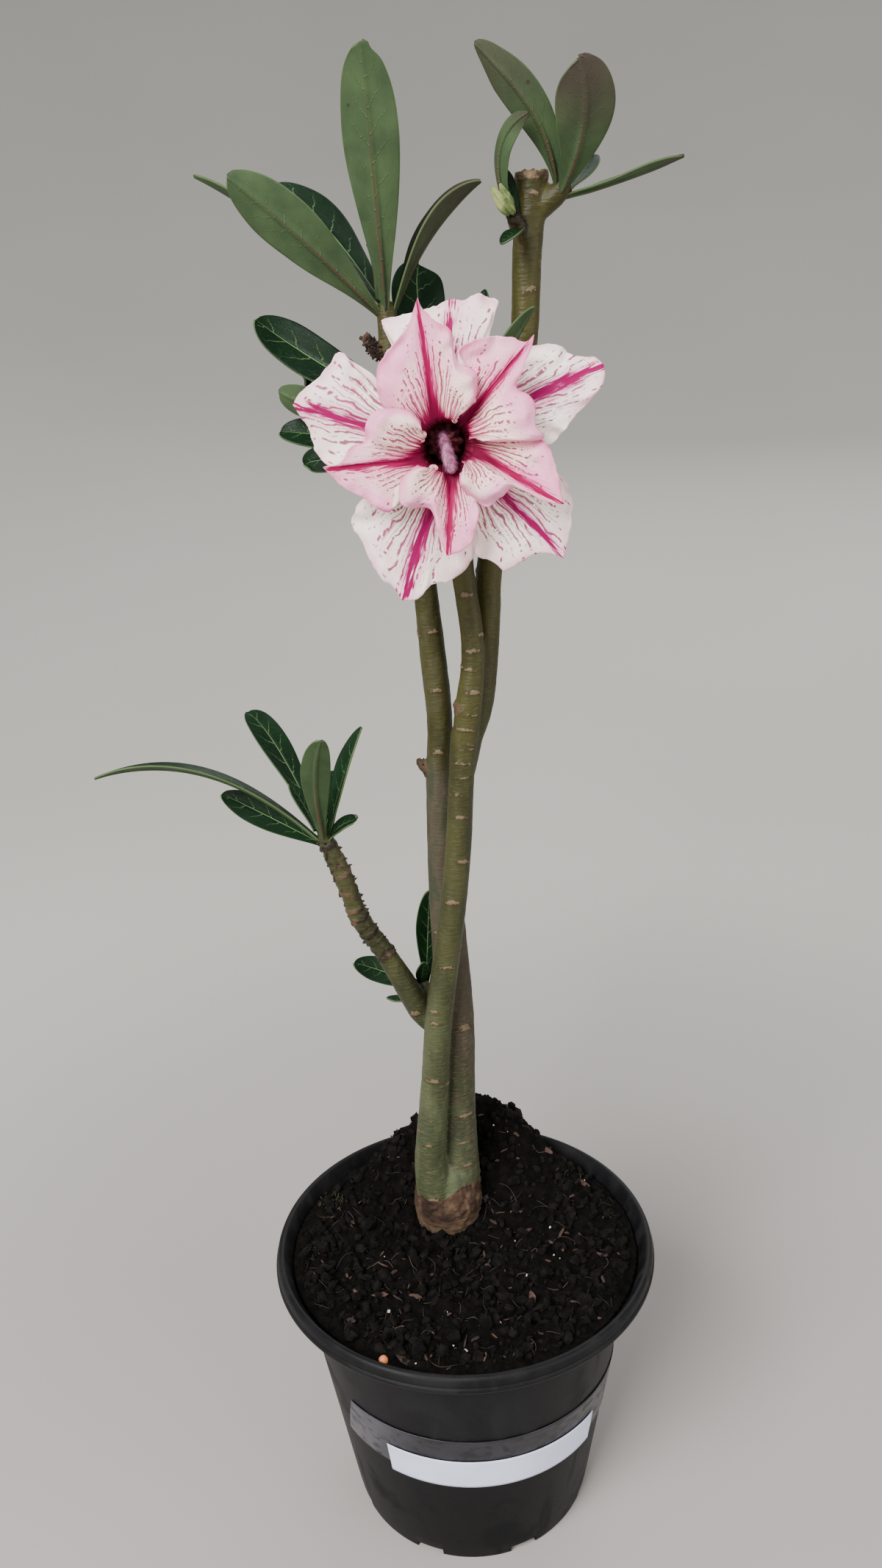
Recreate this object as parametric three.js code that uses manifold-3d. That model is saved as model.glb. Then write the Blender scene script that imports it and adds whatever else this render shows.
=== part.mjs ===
// A grafted desert rose (Adenium) in a black nursery pot, with one double flower, a bare paper
// label and the clear tape that holds it. Millimetres, +Z up. The origin is the centre of the
// pot's base, -Y is the side that the flower faces, and +X is to its right.

import * as THREE from 'three';
import { mergeVertices } from 'three/addons/utils/BufferGeometryUtils.js';
import Module from 'manifold-3d';

const wasm = await Module();
wasm.setup();

// ---- Driving dimensions ---------------------------------------------------------------------

const GAP = 0.3; // clearance between neighbouring pieces
const WELD = 1e-4; // vertices nearer than this are one
const DEGREE = Math.PI / 180;

const POT = {
  baseRadius: 49.2,
  shoulderRadius: 66.6,
  shoulderHeight: 106,
  neckRadius: 72.4,
  beadRadius: 76.6,
  beadHeight: 110.6,
  rimRadius: 74.4,
  height: 117,
  wall: 1.5,
  floor: 2.6,
  sides: 36,
};
const DRAIN = { count: 8, width: 11, height: 3.4, depth: 9, turn: 22.5 };

const SOIL = { level: 109, rimRise: 2, topRadius: 69.6, sides: 36 };
const MOUND = { x: 4, y: 50, spreadX: 28, spreadY: 15, height: 36, fade: 14 };
const LUMP = { height: 1.5, length: 8 };

const TAPE = { from: -143, to: 42, low: 51.8, high: 73.8, rise: -10, thick: 0.4, cells: 30 };
const LABEL = { from: -123, to: -37, low: 47.6, high: 62.6, rise: -3.4, thick: 0.5, cells: 16 };

// Stems as [x, y, z, width] along each centreline, from the root end upwards.
const STEMS = {
  caudex: [
    [-6, 19, 56, 20],
    [-6, 19, 88, 26],
    [-6, 19, 110, 29],
    [-6, 19, 122, 28.4],
    [-5.4, 19, 134, 23],
  ],
  front: [
    [-9.6, 14, 112, 17],
    [-10.4, 13, 143, 16.8],
    [-7.9, 12, 173, 15.8],
    [-5.5, 11, 210, 14.8],
    [-2.2, 10, 234, 12.7],
    [1.2, 10, 260, 11.3],
    [3.7, 10, 282, 9.9],
    [5.4, 9, 307, 9.5],
    [7, 9, 326, 9.8],
  ],
  middle: [
    [6.6, 9, 318, 9],
    [9.2, 8, 337, 9.8],
    [11, 8, 351, 8.4],
    [10.9, 8, 365, 8.2],
    [9, 9, 381, 8.1],
    [7.1, 10, 405, 8],
    [4.3, 10, 431, 7.9],
  ],
  right: [
    [7, 10, 312, 8],
    [9.8, 12, 324, 8.8],
    [13.6, 14, 335, 9.1],
    [15.5, 16, 349, 9.6],
    [17.2, 17, 369, 9.5],
    [18.5, 18, 385, 9.4],
    [25.8, 18, 427, 9.6],
    [31.7, 18, 459, 9.4],
    [33.1, 18, 483, 9.7],
    [34.6, 18, 500, 10.2],
    [35, 18, 508.4, 11],
  ],
  rear: [
    [-1.4, 24, 112, 17],
    [-0.6, 25, 134, 17.4],
    [-0.8, 24, 165, 16],
    [0, 24, 202, 15.6],
    [-1.2, 23, 238, 14.4],
    [-2.4, 22, 271, 11.8],
    [-2.6, 21, 304, 9.9],
    [-1.4, 20, 328, 9.5],
    [-2.6, 19, 349, 9.7],
    [-4.7, 18, 378, 8.6],
    [-6.8, 17, 405, 8.1],
    [-8.9, 16, 429, 8],
    [-12.5, 15, 456, 7.3],
    [-13.3, 15, 470, 6.6],
  ],
  side: [
    [-5, 20, 199, 9],
    [-13, 20.4, 208, 10.2],
    [-16.8, 19, 216, 9.8],
    [-21.9, 17, 227.6, 8.8],
    [-26.5, 15.5, 237.4, 7.8],
    [-30.8, 14, 245.3, 7],
    [-34.7, 12.8, 252.8, 7.6],
    [-37.2, 11.4, 261.6, 6.8],
    [-40.1, 10, 272.2, 7.3],
    [-42.6, 9.2, 280, 6.8],
    [-46, 9, 289, 6],
  ],
  axilShoot: [
    [-6, 24, 205, 6],
    [-9.6, 25.5, 212, 5.4],
    [-12, 26.6, 217, 4.6],
  ],
  topShoot: [
    [33, 18, 491, 7],
    [39, 16.4, 497.5, 7.6],
    [45, 14.6, 503.6, 6.4],
  ],
  budShoot: [
    [34, 17, 487, 5],
    [31, 14, 491, 5],
    [28.6, 11.4, 494.6, 4.6],
  ],
  dryStalk: [
    [-12, 15, 454, 4.4],
    [-15.6, 14.2, 456, 4.2],
    [-17.6, 13.4, 457, 5.2],
    [-18.8, 13, 459, 3.6],
    [-21, 12, 461.6, 3.4],
  ],
  forkNub: [
    [3, 9, 318, 5],
    [0, 7.4, 320.5, 3.4],
  ],
  rearStub: [
    [-3, 21, 306, 6],
    [-7, 21, 310, 4.6],
    [-9.6, 21, 312.6, 3.4],
  ],
};
const STEM_SIDES = 10;
const RING_STEP = 17; // distance between a stem's rings
const CUT_STEMS = ['right', 'dryStalk']; // the stems that end flat

// Where leaves sit: the end of a shoot, the way it points and its radius there.
const SHOOTS = {
  crown: { end: [-13.3, 15, 471], way: [-0.1, 0, 1], radius: 3.2 },
  rosette: { end: [4.2, 10, 432], way: [-0.1, 0, 1], radius: 3.8 },
  top: { end: [45, 14.6, 504], way: [0.62, -0.18, 0.76], radius: 3.1 },
  bud: { end: [28.6, 11.4, 495], way: [-0.4, -0.42, 0.8], radius: 2.2 },
  side: { end: [-46.6, 9, 290], way: [-0.42, 0, 0.9], radius: 2.9 },
  axil: { end: [-12, 26.6, 217.6], way: [-0.4, 0.2, 0.9], radius: 2.2 },
};

// One leaf each: the shoot, its turn round the shoot and its drop below the end, the points that
// its rib passes through half-way and at the tip, its width, the way its upper side faces, the
// angle that each half is folded up by, and how far its margin waves.
const LEAVES = {
  crown_leaf_1: ['crown', -95, 2, [-14.8, -4, 509.6], [-16, -16, 538.6], 16.8, [0.2, 1, 0.2], 7, 0.5],
  crown_leaf_2: ['crown', -155, 3, [-38.2, 2, 490.3], [-58.9, -4, 507.3], 16.4, [0.25, 1, 0.25], 8, 0.5],
  crown_leaf_3: ['crown', 108, 1, [-31.1, 34, 495.1], [-50, 50, 513.6], 17, [0.5, -0.75, 0.6], 10, 0.4],
  crown_leaf_4: ['crown', 172, 2, [-43.8, 20, 493.9], [-73.5, 24, 512.4], 13, [0.5, 0.25, 0.85], 14, 0.3],
  crown_leaf_5: ['crown', -10, 2, [1.3, 11, 489.9], [18.3, 9, 505.3], 11.6, [-0.62, -0.1, 0.6], 38, 0.2],
  crown_leaf_6: ['crown', -170, -1.5, [-16.4, 15, 482.9], [-18.6, 15, 489.5], 4.6, [0.8, 0.4, 0.3], 16, 0],
  rosette_leaf_1: ['rosette', 118, 2, [-35.6, 31, 453], [-59.1, 36, 469.3], 15, [0.2, -1, 0.45], 9, 0.4],
  rosette_leaf_2: ['rosette', 92, 6, [-31, 37, 443.4], [-44.4, 39, 450.4], 11, [0.2, -1, 0.4], 9, 0.2],
  rosette_leaf_3: ['rosette', -138, 2, [-31.9, 1, 438.6], [-49, 2, 445.4], 10, [0.1, 1, 0.35], 10, 0.2],
  rosette_leaf_4: ['rosette', -158, 8, [-31.9, 7, 430.4], [-50.3, 9, 432.6], 10, [0.1, -0.9, 0.6], 12, 0.2],
  rosette_leaf_5: ['rosette', 100, 11, [-30.5, 34, 422.4], [-46.3, 38, 420.3], 9.5, [-0.1, -1, 0.4], 12, 0.2],
  rosette_leaf_6: ['rosette', 95, -0.5, [-2.4, 24, 467.6], [-2.1, 30, 484], 17.5, [0.15, -1, 0.35], 8, 0.3],
  rosette_leaf_7: ['rosette', 30, 3, [14.4, 19, 455.8], [19.7, 22, 474.9], 8, [-0.4, -0.7, 0.5], 14, 0.1],
  rosette_leaf_8: ['rosette', -22, 1, [23.3, 6, 452.3], [34, 3, 467.8], 8.6, [-0.62, 0.35, 0.65], 22, 0.1],
  top_leaf_1: ['top', -152, 1, [34.3, 5, 523.6], [17.5, 2, 540.1], 11.6, [0.45, 1, 0.3], 9, 0.3],
  top_leaf_2: ['top', -74, 2, [49.4, -1, 519.1], [46.5, -10, 534], 17.4, [-0.1, 1, 0.4], 7, 0.4],
  top_leaf_3: ['top', -12, 2, [64.7, 11, 505.2], [81.6, 8, 509.9], 9.4, [-0.2, -0.1, 1], 16, 0.2],
  top_leaf_4: ['top', 40, 1, [54.7, 30, 510.3], [62.4, 40, 518.4], 11, [-0.4, -0.8, 0.7], 12, 0.2],
  top_leaf_5: ['top', 112, 1, [44.9, 26, 515.1], [45.7, 33, 525.3], 8, [0.3, -1, 0.5], 12, 0.1],
  bud_leaf_1: ['bud', 175, 2, [24.3, 7, 512.4], [32.7, 0, 522], 6.4, [0.85, 0.45, 0.3], 20, 0.2],
  bud_leaf_2: ['bud', 40, 1, [27.6, 13.4, 502.3], [26, 14, 509.5], 4.6, [0.4, -0.9, 0.2], 12, 0],
  bud_leaf_3: ['bud', -75, 4, [27.9, 6, 489.6], [23.8, 3.4, 486.5], 4.2, [-0.2, -0.6, 0.8], 14, 0],
  side_leaf_1: ['side', -165, 2, [-85.5, 5.5, 315.4], [-125.2, 1, 317.3], 10.6, [0.15, 0.18, 1], 17, 0],
  side_leaf_2: ['side', 165, 4.3, [-65.2, 12, 295.8], [-83.2, 15, 305], 10, [-0.3, -0.9, 0.75], 10, 0.2],
  side_leaf_3: ['side', 126, 2.4, [-62.2, 28, 316.2], [-75.1, 40, 329.3], 10.8, [0.5, -0.9, 0.5], 8, 0.3],
  side_leaf_4: ['side', -85, 1.5, [-46, -6, 313.8], [-41.7, -18, 333.4], 9.8, [0, 1, 0.4], 6, 0.2],
  side_leaf_5: ['side', 8, 1.4, [-38.3, 13, 308.2], [-30.1, 17, 327.9], 9, [-0.9, -0.15, 0.4], 30, 0.1],
  side_leaf_6: ['side', 68, 0, [-43.4, 20, 298.9], [-42.8, 25, 309.2], 4.8, [-0.1, -1, 0.3], 12, 0],
  side_leaf_7: ['side', -40, 2.8, [-38.9, 4, 294.6], [-32.5, 1, 297.7], 5.6, [-0.3, -0.5, 0.8], 12, 0.2],
  side_leaf_8: ['side', 150, -1.6, [-53.2, 13.6, 299.8], [-58.2, 15, 307.8], 4.6, [0.6, -0.7, 0.4], 12, 0],
  axil_leaf_1: ['axil', 65, 0.5, [-9.8, 33.4, 235.7], [-8.4, 35, 254], 9.4, [0.3, -1, 0.2], 8, 0.2],
  axil_leaf_2: ['axil', 168, 2, [-26.5, 32, 219.6], [-40.3, 34, 224], 9.6, [0, -0.85, 0.65], 10, 0.2],
  axil_leaf_3: ['axil', 150, 5.5, [-20.5, 31, 208], [-27.8, 32, 208.4], 4, [0, -0.1, 1], 12, 0],
  axil_leaf_4: ['axil', -150, -0.8, [-12.6, 24.2, 222.4], [-11.6, 23.4, 228.4], 4.6, [0.2, -1, 0.2], 12, 0],
};
const LEAF = {
  broadest: 0.62, // share of the length where a blade is broadest
  fullness: 2.2,
  stalkWidth: 1.8,
  tipWidth: 0.6,
  edgeThick: 0.75,
  ribThick: 0.5,
  stalkThick: 0.7,
  smallWidth: 6, // a blade narrower than this has fewer faces
};

const FLOWER = { x: 4, y: -30, z: 427.7, throat: 9.3, lobeThick: 0.75 };
const LOBE_ROWS = 6;
const LOBE_CELLS = 6;
// Each lobe: the angle of its tip, its reach from the flower's axis, its half widths and the drop
// of its corners from the tip, on the anticlockwise side and then on the clockwise side.
const OUTER_LOBES = [
  [87, 42.6, 20, 16, 7, 2],
  [26, 54, 14, 15, 12, 18],
  [-43, 49, 16, 16, 13, 11],
  [-108, 48.5, 17, 24, 16, 14],
  [165, 48, 16, 20, 15, 9],
];
const INNER_LOBES = [
  [101, 41.8, 17, 14, 22, 22],
  [52, 40, 15, 17, 17, 16],
  [-28, 36.7, 15, 12, 12, 17],
  [-89, 32.6, 12, 14, 12, 17],
  [-169, 36.6, 17, 14, 16, 17],
];
const OUTER_LIMB = { start: -1, rise: -4.5, bend: 2, tilt: -0.12, ruffle: 1.2 };
const INNER_LIMB = { start: 1.4, rise: 8, bend: 0.8, tilt: -0.14, ruffle: 1.2 };
// The funnel's bore as [radius, distance in front of the flower's face].
const FUNNEL = [
  [11, -0.9],
  [9.5, -1.6],
  [8.6, -5],
  [7.4, -12],
  [5.6, -20],
  [3.4, -26],
];
const FUNNEL_WALL = 0.8;
const FUNNEL_END = -28;
const INNER_TUBE_END = -11;

const PLUME = [
  [0, -0.5, -25, 3.4],
  [-0.4, 0.6, -16, 3.2],
  [-1, 2.2, -8, 4.2],
  [0, -2, -1.4, 4.2],
  [1.3, -5.6, 2, 3.4],
  [1.6, -7.8, 3.2, 2],
];
const CALYX = { depth: 5, wall: 1, sepals: 5, sepalLength: 9, sepalWidth: 3.4, stalkWidth: 3.6 };
const BUDS = [
  [[27, 8.6, 495.6], [21.2, 4, 502.9], 4.2],
  [[27.8, 8.6, 496.4], [24.2, 4.6, 503.4], 3.6],
  [[28.2, 8.4, 495.8], [25.4, 3.4, 499.4], 3],
];

// ---- Solids ---------------------------------------------------------------------------------

const vector = ([x, y, z]) => new THREE.Vector3(x, y, z);

/** A closed geometry from points and triangles, turned to face outwards. */
function closedGeometry(points, triangles) {
  const cross = new THREE.Vector3();
  let volume = 0;
  for (const [a, b, c] of triangles) {
    volume += points[a].dot(cross.crossVectors(points[b], points[c]));
  }
  const outward = triangles.map(([a, b, c]) => (volume > 0 ? [a, b, c] : [a, c, b]));
  const geometry = new THREE.BufferGeometry().setFromPoints(points);
  geometry.setIndex(outward.flat());
  return geometry;
}

/** The solid that a closed geometry bounds. */
function solidOf(geometry) {
  const bare = new THREE.BufferGeometry();
  bare.setAttribute('position', geometry.getAttribute('position'));
  bare.setIndex(geometry.index);
  const merged = mergeVertices(bare, WELD);
  const corners = merged.index.array;
  const triangles = [];
  for (let i = 0; i < corners.length; i += 3) {
    const [a, b, c] = corners.slice(i, i + 3);
    if (a !== b && b !== c && c !== a) triangles.push(a, b, c);
  }
  const vertProperties = new Float32Array(merged.getAttribute('position').array);
  const mesh = new wasm.Mesh({ numProp: 3, vertProperties, triVerts: new Uint32Array(triangles) });
  return new wasm.Manifold(mesh);
}

/** All the solids joined into one. */
function joined(solids) {
  return solids.reduce((whole, solid) => whole.add(solid));
}

/** A turned solid: its profile is [radius, height], from the axis and back to it. */
function turnedSolid(profile, sides) {
  const outline = profile.map(([radius, height]) => new THREE.Vector2(radius, height));
  const geometry = new THREE.LatheGeometry(outline, sides);
  geometry.rotateX(Math.PI / 2);
  return geometry;
}

/** Rings of points skinned one to the next, and closed at both ends by a point. */
function skinnedRings(rings, startPoint, endPoint) {
  const sides = rings[0].length;
  const points = [...rings.flat(), startPoint, endPoint];
  const start = points.length - 2;
  const end = points.length - 1;
  const last = (rings.length - 1) * sides;
  const triangles = [];
  for (let side = 0; side < sides; side += 1) {
    const next = (side + 1) % sides;
    for (let ring = 0; ring < rings.length - 1; ring += 1) {
      const here = ring * sides;
      const above = here + sides;
      triangles.push([here + side, here + next, above + next]);
      triangles.push([here + side, above + next, above + side]);
    }
    triangles.push([start, next, side]);
    triangles.push([end, last + side, last + next]);
  }
  return closedGeometry(points, triangles);
}

/** A round stem through stations of [x, y, z, width], thicker all round by the clearance. */
function stemSolid(stations, { clearance = 0, sides = STEM_SIDES, step = RING_STEP, flat = false } = {}) {
  const path = new THREE.CatmullRomCurve3(stations.map(vector));
  const widths = new THREE.SplineCurve(stations.map((station, i) => new THREE.Vector2(i, station[3])));
  const count = Math.max(3, Math.ceil(path.getLength() / step));
  const frames = path.computeFrenetFrames(count);
  const rings = [];
  const ring = (centre, radius, i) =>
    Array.from({ length: sides }, (_, side) => {
      const angle = (side / sides) * 2 * Math.PI;
      return centre
        .clone()
        .addScaledVector(frames.normals[i], radius * Math.cos(angle))
        .addScaledVector(frames.binormals[i], radius * Math.sin(angle));
    });
  for (let i = 0; i <= count; i += 1) {
    const share = path.getUtoTmapping(i / count);
    rings.push(ring(path.getPoint(share), widths.getPoint(share).y / 2 + clearance, i));
  }
  const endRadius = stations.at(-1)[3] / 2;
  const end = path.getPoint(1);
  const way = frames.tangents[count];
  const top = end.clone().addScaledVector(way, clearance + (flat ? 0 : endRadius * 0.7));
  if (!flat) {
    const shoulder = end.clone().addScaledVector(way, endRadius * 0.45);
    rings.push(ring(shoulder, endRadius * 0.72 + clearance, count));
  }
  return solidOf(skinnedRings(rings, path.getPoint(0), top));
}

/** A thin blade between an upper and a lower grid of points, both split the same way. */
function bladeGeometry(upper, lower) {
  const rows = upper.length - 1;
  const cells = upper[0].length - 1;
  const stride = cells + 1;
  const points = [...upper.flat(), ...lower.flat()];
  const under = (rows + 1) * stride;
  const triangles = [];
  for (let row = 0; row < rows; row += 1) {
    for (let cell = 0; cell < cells; cell += 1) {
      const a = row * stride + cell;
      const [b, c, d] = [a + 1, a + stride + 1, a + stride];
      triangles.push([a, b, c], [a, c, d]);
      triangles.push([under + a, under + c, under + b], [under + a, under + d, under + c]);
    }
  }
  const wall = (a, b) => triangles.push([a, under + a, under + b], [a, under + b, b]);
  for (let cell = 0; cell < cells; cell += 1) {
    wall(cell, cell + 1);
    wall(rows * stride + cell + 1, rows * stride + cell);
  }
  for (let row = 0; row < rows; row += 1) {
    wall((row + 1) * stride, row * stride);
    wall(row * stride + cells, (row + 1) * stride + cells);
  }
  return closedGeometry(points, triangles.map(([a, b, c]) => [a, c, b]));
}

// ---- Pot, soil, tape and label --------------------------------------------------------------

/** The outer radius of the pot's tapered body at a height. */
function bodyRadius(height) {
  const share = height / POT.shoulderHeight;
  return THREE.MathUtils.lerp(POT.baseRadius, POT.shoulderRadius, share);
}

function potSolid() {
  const { baseRadius, shoulderRadius, shoulderHeight, neckRadius, beadRadius } = POT;
  const { beadHeight, rimRadius, height, wall, floor } = POT;
  const shell = solidOf(
    turnedSolid(
      [
        [0, 0],
        [baseRadius - 1, 0],
        [baseRadius, 1.2],
        [shoulderRadius, shoulderHeight],
        [neckRadius - 0.8, shoulderHeight + 1.2],
        [neckRadius, beadHeight - 0.5],
        [beadRadius - 0.5, beadHeight],
        [beadRadius, beadHeight + 2],
        [rimRadius + 1.2, height - 0.7],
        [rimRadius, height],
        [rimRadius - 1.4, height - 0.6],
        [neckRadius - 2.2, beadHeight],
        [neckRadius - 2.8, shoulderHeight + 1.5],
        [shoulderRadius - wall, shoulderHeight - 0.4],
        [bodyRadius(floor) - wall, floor],
        [0, floor],
      ],
      POT.sides,
    ),
  );
  const slots = Array.from({ length: DRAIN.count }, (_, i) => {
    const slot = new THREE.BoxGeometry(DRAIN.depth, DRAIN.width, DRAIN.height * 2);
    slot.translate(baseRadius - DRAIN.depth / 2 + 2, 0, 0);
    slot.rotateZ((DRAIN.turn + (i * 360) / DRAIN.count) * DEGREE);
    return solidOf(slot);
  });
  return shell.subtract(joined(slots));
}

/** The lumpy surface of the soil, with its steep mound behind the stems. */
function soilHeight(x, y) {
  const radius = Math.hypot(x, y);
  const mound = Math.exp(
    -0.5 * (((x - MOUND.x) / MOUND.spreadX) ** 2 + ((y - MOUND.y) / MOUND.spreadY) ** 2),
  );
  const inside = THREE.MathUtils.smoothstep(SOIL.topRadius - radius, 0, MOUND.fade);
  const lumps =
    Math.sin(x / LUMP.length + 1.3) * Math.sin(y / LUMP.length - 0.4) +
    0.6 * Math.sin((x + y) / (0.47 * LUMP.length)) * Math.sin((x - y) / (0.55 * LUMP.length) + 2);
  const rim = SOIL.rimRise * (radius / SOIL.topRadius) ** 4;
  return SOIL.level + rim + inside * (MOUND.height * mound + LUMP.height * lumps);
}

function soilSolid() {
  const { shoulderRadius, shoulderHeight, neckRadius, beadHeight, wall, floor } = POT;
  const lowest = floor + GAP;
  const rings = [0.14, 0.28, 0.42, 0.55, 0.67, 0.78, 0.88, 0.96, 1].map((share) => share * SOIL.topRadius);
  const profile = [
    [0, lowest],
    [bodyRadius(lowest) - wall - GAP, lowest],
    [shoulderRadius - wall - GAP, shoulderHeight - 0.4],
    [neckRadius - 2.8 - GAP, shoulderHeight + 1.8],
    [neckRadius - 2.3 - GAP, beadHeight - 0.4],
    ...rings.reverse().map((radius) => [Math.min(radius, neckRadius - 2.5 - GAP), SOIL.level + 1]),
    [0, SOIL.level + 1],
  ];
  const geometry = turnedSolid(profile, SOIL.sides);
  const position = geometry.getAttribute('position');
  for (let i = 0; i < position.count; i += 1) {
    if (position.getZ(i) > SOIL.level + 0.5 && position.getZ(i) < SOIL.level + 1.05) {
      position.setZ(i, soilHeight(position.getX(i), position.getY(i)));
    }
  }
  return solidOf(geometry);
}

/** A strip that lies round the pot's body, its ends raised or lowered by the rise. */
function wrapSolid({ from, to, low, high, rise, thick, cells }, standoff) {
  const point = (cell, height, offset) => {
    const share = cell / cells;
    const angle = THREE.MathUtils.lerp(from, to, share) * DEGREE;
    const level = height + rise * share ** 2;
    const radius = bodyRadius(level) + standoff + offset;
    return new THREE.Vector3(radius * Math.cos(angle), radius * Math.sin(angle), level);
  };
  const face = (offset) =>
    Array.from({ length: cells + 1 }, (_, cell) => [point(cell, low, offset), point(cell, high, offset)]);
  return solidOf(bladeGeometry(face(thick), face(0)));
}

// ---- Stems and leaves -----------------------------------------------------------------------

/** All the stems joined, thicker all round by the clearance. */
function plantSolid(clearance) {
  const stems = Object.entries(STEMS).map(([name, stations]) => {
    const short = stations.length < 6 && name !== 'caudex';
    return stemSolid(stations, {
      clearance,
      flat: CUT_STEMS.includes(name),
      sides: short ? 8 : STEM_SIDES,
      step: name === 'side' ? 9 : RING_STEP,
    });
  });
  return joined(stems);
}

/** A curve of one bend that passes through three points. */
function ribCurve(base, middle, tip) {
  const control = middle.clone().multiplyScalar(2).addScaledVector(base, -0.5).addScaledVector(tip, -0.5);
  return new THREE.QuadraticBezierCurve3(base, control, tip);
}

/** The share of a leaf's full width at a share of its length. */
function leafOutline(share) {
  const { broadest, fullness } = LEAF;
  const rise = (share / broadest) ** (fullness * broadest);
  const fall = ((1 - share) / (1 - broadest)) ** (fullness * (1 - broadest));
  return rise * fall;
}

function leafSolid([shootName, turn, drop, middle, tip, width, face, fold, wave]) {
  const shoot = SHOOTS[shootName];
  const way = vector(shoot.way).normalize();
  const outward = new THREE.Vector3(Math.cos(turn * DEGREE), Math.sin(turn * DEGREE), 0);
  outward.addScaledVector(way, -outward.dot(way)).normalize();
  const base = vector(shoot.end)
    .addScaledVector(way, -drop)
    .addScaledVector(outward, shoot.radius - 0.9);
  const rib = ribCurve(base, vector(middle), vector(tip));
  const small = width < LEAF.smallWidth;
  const rows = small ? 5 : 8;
  const cells = small ? 2 : 4;
  const slope = Math.tan(fold * DEGREE);
  const upper = [];
  const lower = [];
  for (let row = 0; row <= rows; row += 1) {
    const share = row / rows;
    const centre = rib.getPoint(share);
    const along = rib.getTangent(share);
    const up = vector(face);
    up.addScaledVector(along, -up.dot(along)).normalize();
    const across = along.clone().cross(up);
    const stalk = (1 - share) ** 3;
    const half = (LEAF.stalkWidth * stalk + LEAF.tipWidth + width * leafOutline(share)) / 2;
    const top = [];
    const bottom = [];
    for (let cell = 0; cell <= cells; cell += 1) {
      const side = (2 * cell) / cells - 1;
      const lift = half * Math.abs(side) * slope * (1 - stalk);
      const ripple = wave * side ** 2 * Math.sin(share * 9 + side);
      const thick =
        LEAF.edgeThick * Math.hypot(1, slope) +
        (1 - Math.abs(side)) * (LEAF.ribThick * (1 - share) + LEAF.stalkThick * stalk);
      const point = centre
        .clone()
        .addScaledVector(across, half * side)
        .addScaledVector(up, lift + ripple);
      top.push(point.clone().addScaledVector(up, thick / 2));
      bottom.push(point.addScaledVector(up, -thick / 2));
    }
    upper.push(top);
    lower.push(bottom);
  }
  return solidOf(bladeGeometry(upper, lower));
}

// ---- Flower ---------------------------------------------------------------------------------

/** A point of the flower: right and up across its face, and in front of it. */
function flowerPoint(right, up, front) {
  return new THREE.Vector3(FLOWER.x + right, FLOWER.y - front, FLOWER.z + up);
}

/** A turned solid on the flower's axis; its profile is [radius, distance in front of the face]. */
function flowerTurned(profile, sides) {
  const geometry = turnedSolid(profile, sides);
  geometry.rotateX(Math.PI / 2);
  geometry.translate(FLOWER.x, FLOWER.y, FLOWER.z);
  return solidOf(geometry);
}

function lobeSolid([angle, reach, leftHalf, rightHalf, leftDrop, rightDrop], limb, index) {
  const { throat, lobeThick } = FLOWER;
  const cos = Math.cos(angle * DEGREE);
  const sin = Math.sin(angle * DEGREE);
  const sector = 36 * DEGREE;
  const grid = (offset) =>
    Array.from({ length: LOBE_ROWS + 1 }, (_, row) => {
      const share = row / LOBE_ROWS;
      return Array.from({ length: LOBE_CELLS + 1 }, (__, cell) => {
        const side = (2 * cell) / LOBE_CELLS - 1;
        const half = side > 0 ? leftHalf : rightHalf;
        const drop = (side > 0 ? leftDrop : rightDrop) * Math.abs(side) ** 1.2;
        const spread = Math.sin((Math.PI / 2) * Math.min(1, share * 1.35)) - 0.22 * share ** 6;
        const across = side * THREE.MathUtils.lerp(throat * Math.sin(sector), half, spread);
        const start = throat * Math.cos(sector * side);
        const along = THREE.MathUtils.lerp(start, reach - drop, share);
        const ripple = limb.ruffle * share * side ** 2 * Math.sin(7 * share + 3 * side + 2 * index);
        const front =
          limb.start + limb.rise * share ** limb.bend + limb.tilt * across * share + ripple + offset;
        return flowerPoint(along * cos - across * sin, along * sin + across * cos, front);
      });
    });
  return solidOf(bladeGeometry(grid(0), grid(-lobeThick)));
}

/** The profile of a funnel wall: its bore is shrunk by the inset, down to the end. */
function funnelProfile(inset, wall, end) {
  const bore = FUNNEL.filter(([, front]) => front > end).map(([radius, front]) => [radius - inset, front]);
  return bore.map(([radius, front]) => [radius, front, radius + wall]);
}

function outerCorollaSolid() {
  const wall = funnelProfile(0, FUNNEL_WALL, FUNNEL_END);
  const funnel = flowerTurned(
    [
      [0, FUNNEL_END],
      ...wall.map(([, front, radius]) => [radius, front - 0.5]).reverse(),
      ...wall.map(([radius, front]) => [radius, front]),
      [0, FUNNEL_END + FUNNEL_WALL],
    ],
    20,
  );
  return joined([funnel, ...OUTER_LOBES.map((lobe, i) => lobeSolid(lobe, OUTER_LIMB, i))]);
}

function innerCorollaSolid() {
  const inset = GAP + FUNNEL_WALL;
  const wall = funnelProfile(inset, FUNNEL_WALL, INNER_TUBE_END);
  const lift = INNER_LIMB.start - OUTER_LIMB.start - 0.6;
  const tube = flowerTurned(
    [
      ...wall.map(([, front, radius]) => [radius, front + lift * (front > -2 ? 1 : 0)]).reverse(),
      ...wall.map(([radius, front]) => [radius, front + lift * (front > -2 ? 1 : 0) + 0.7]),
      [wall.at(-1)[2], wall.at(-1)[1]],
    ],
    20,
  );
  return joined([tube, ...INNER_LOBES.map((lobe, i) => lobeSolid(lobe, INNER_LIMB, i + 5))]);
}

/** The hairy plume of the anthers, on the slender cone that carries it in the throat. */
function plumeSolid() {
  const stations = PLUME.map(([right, up, front, width]) => [...flowerPoint(right, up, front), width]);
  return stemSolid(stations, { sides: 10, step: 4 });
}

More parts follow.
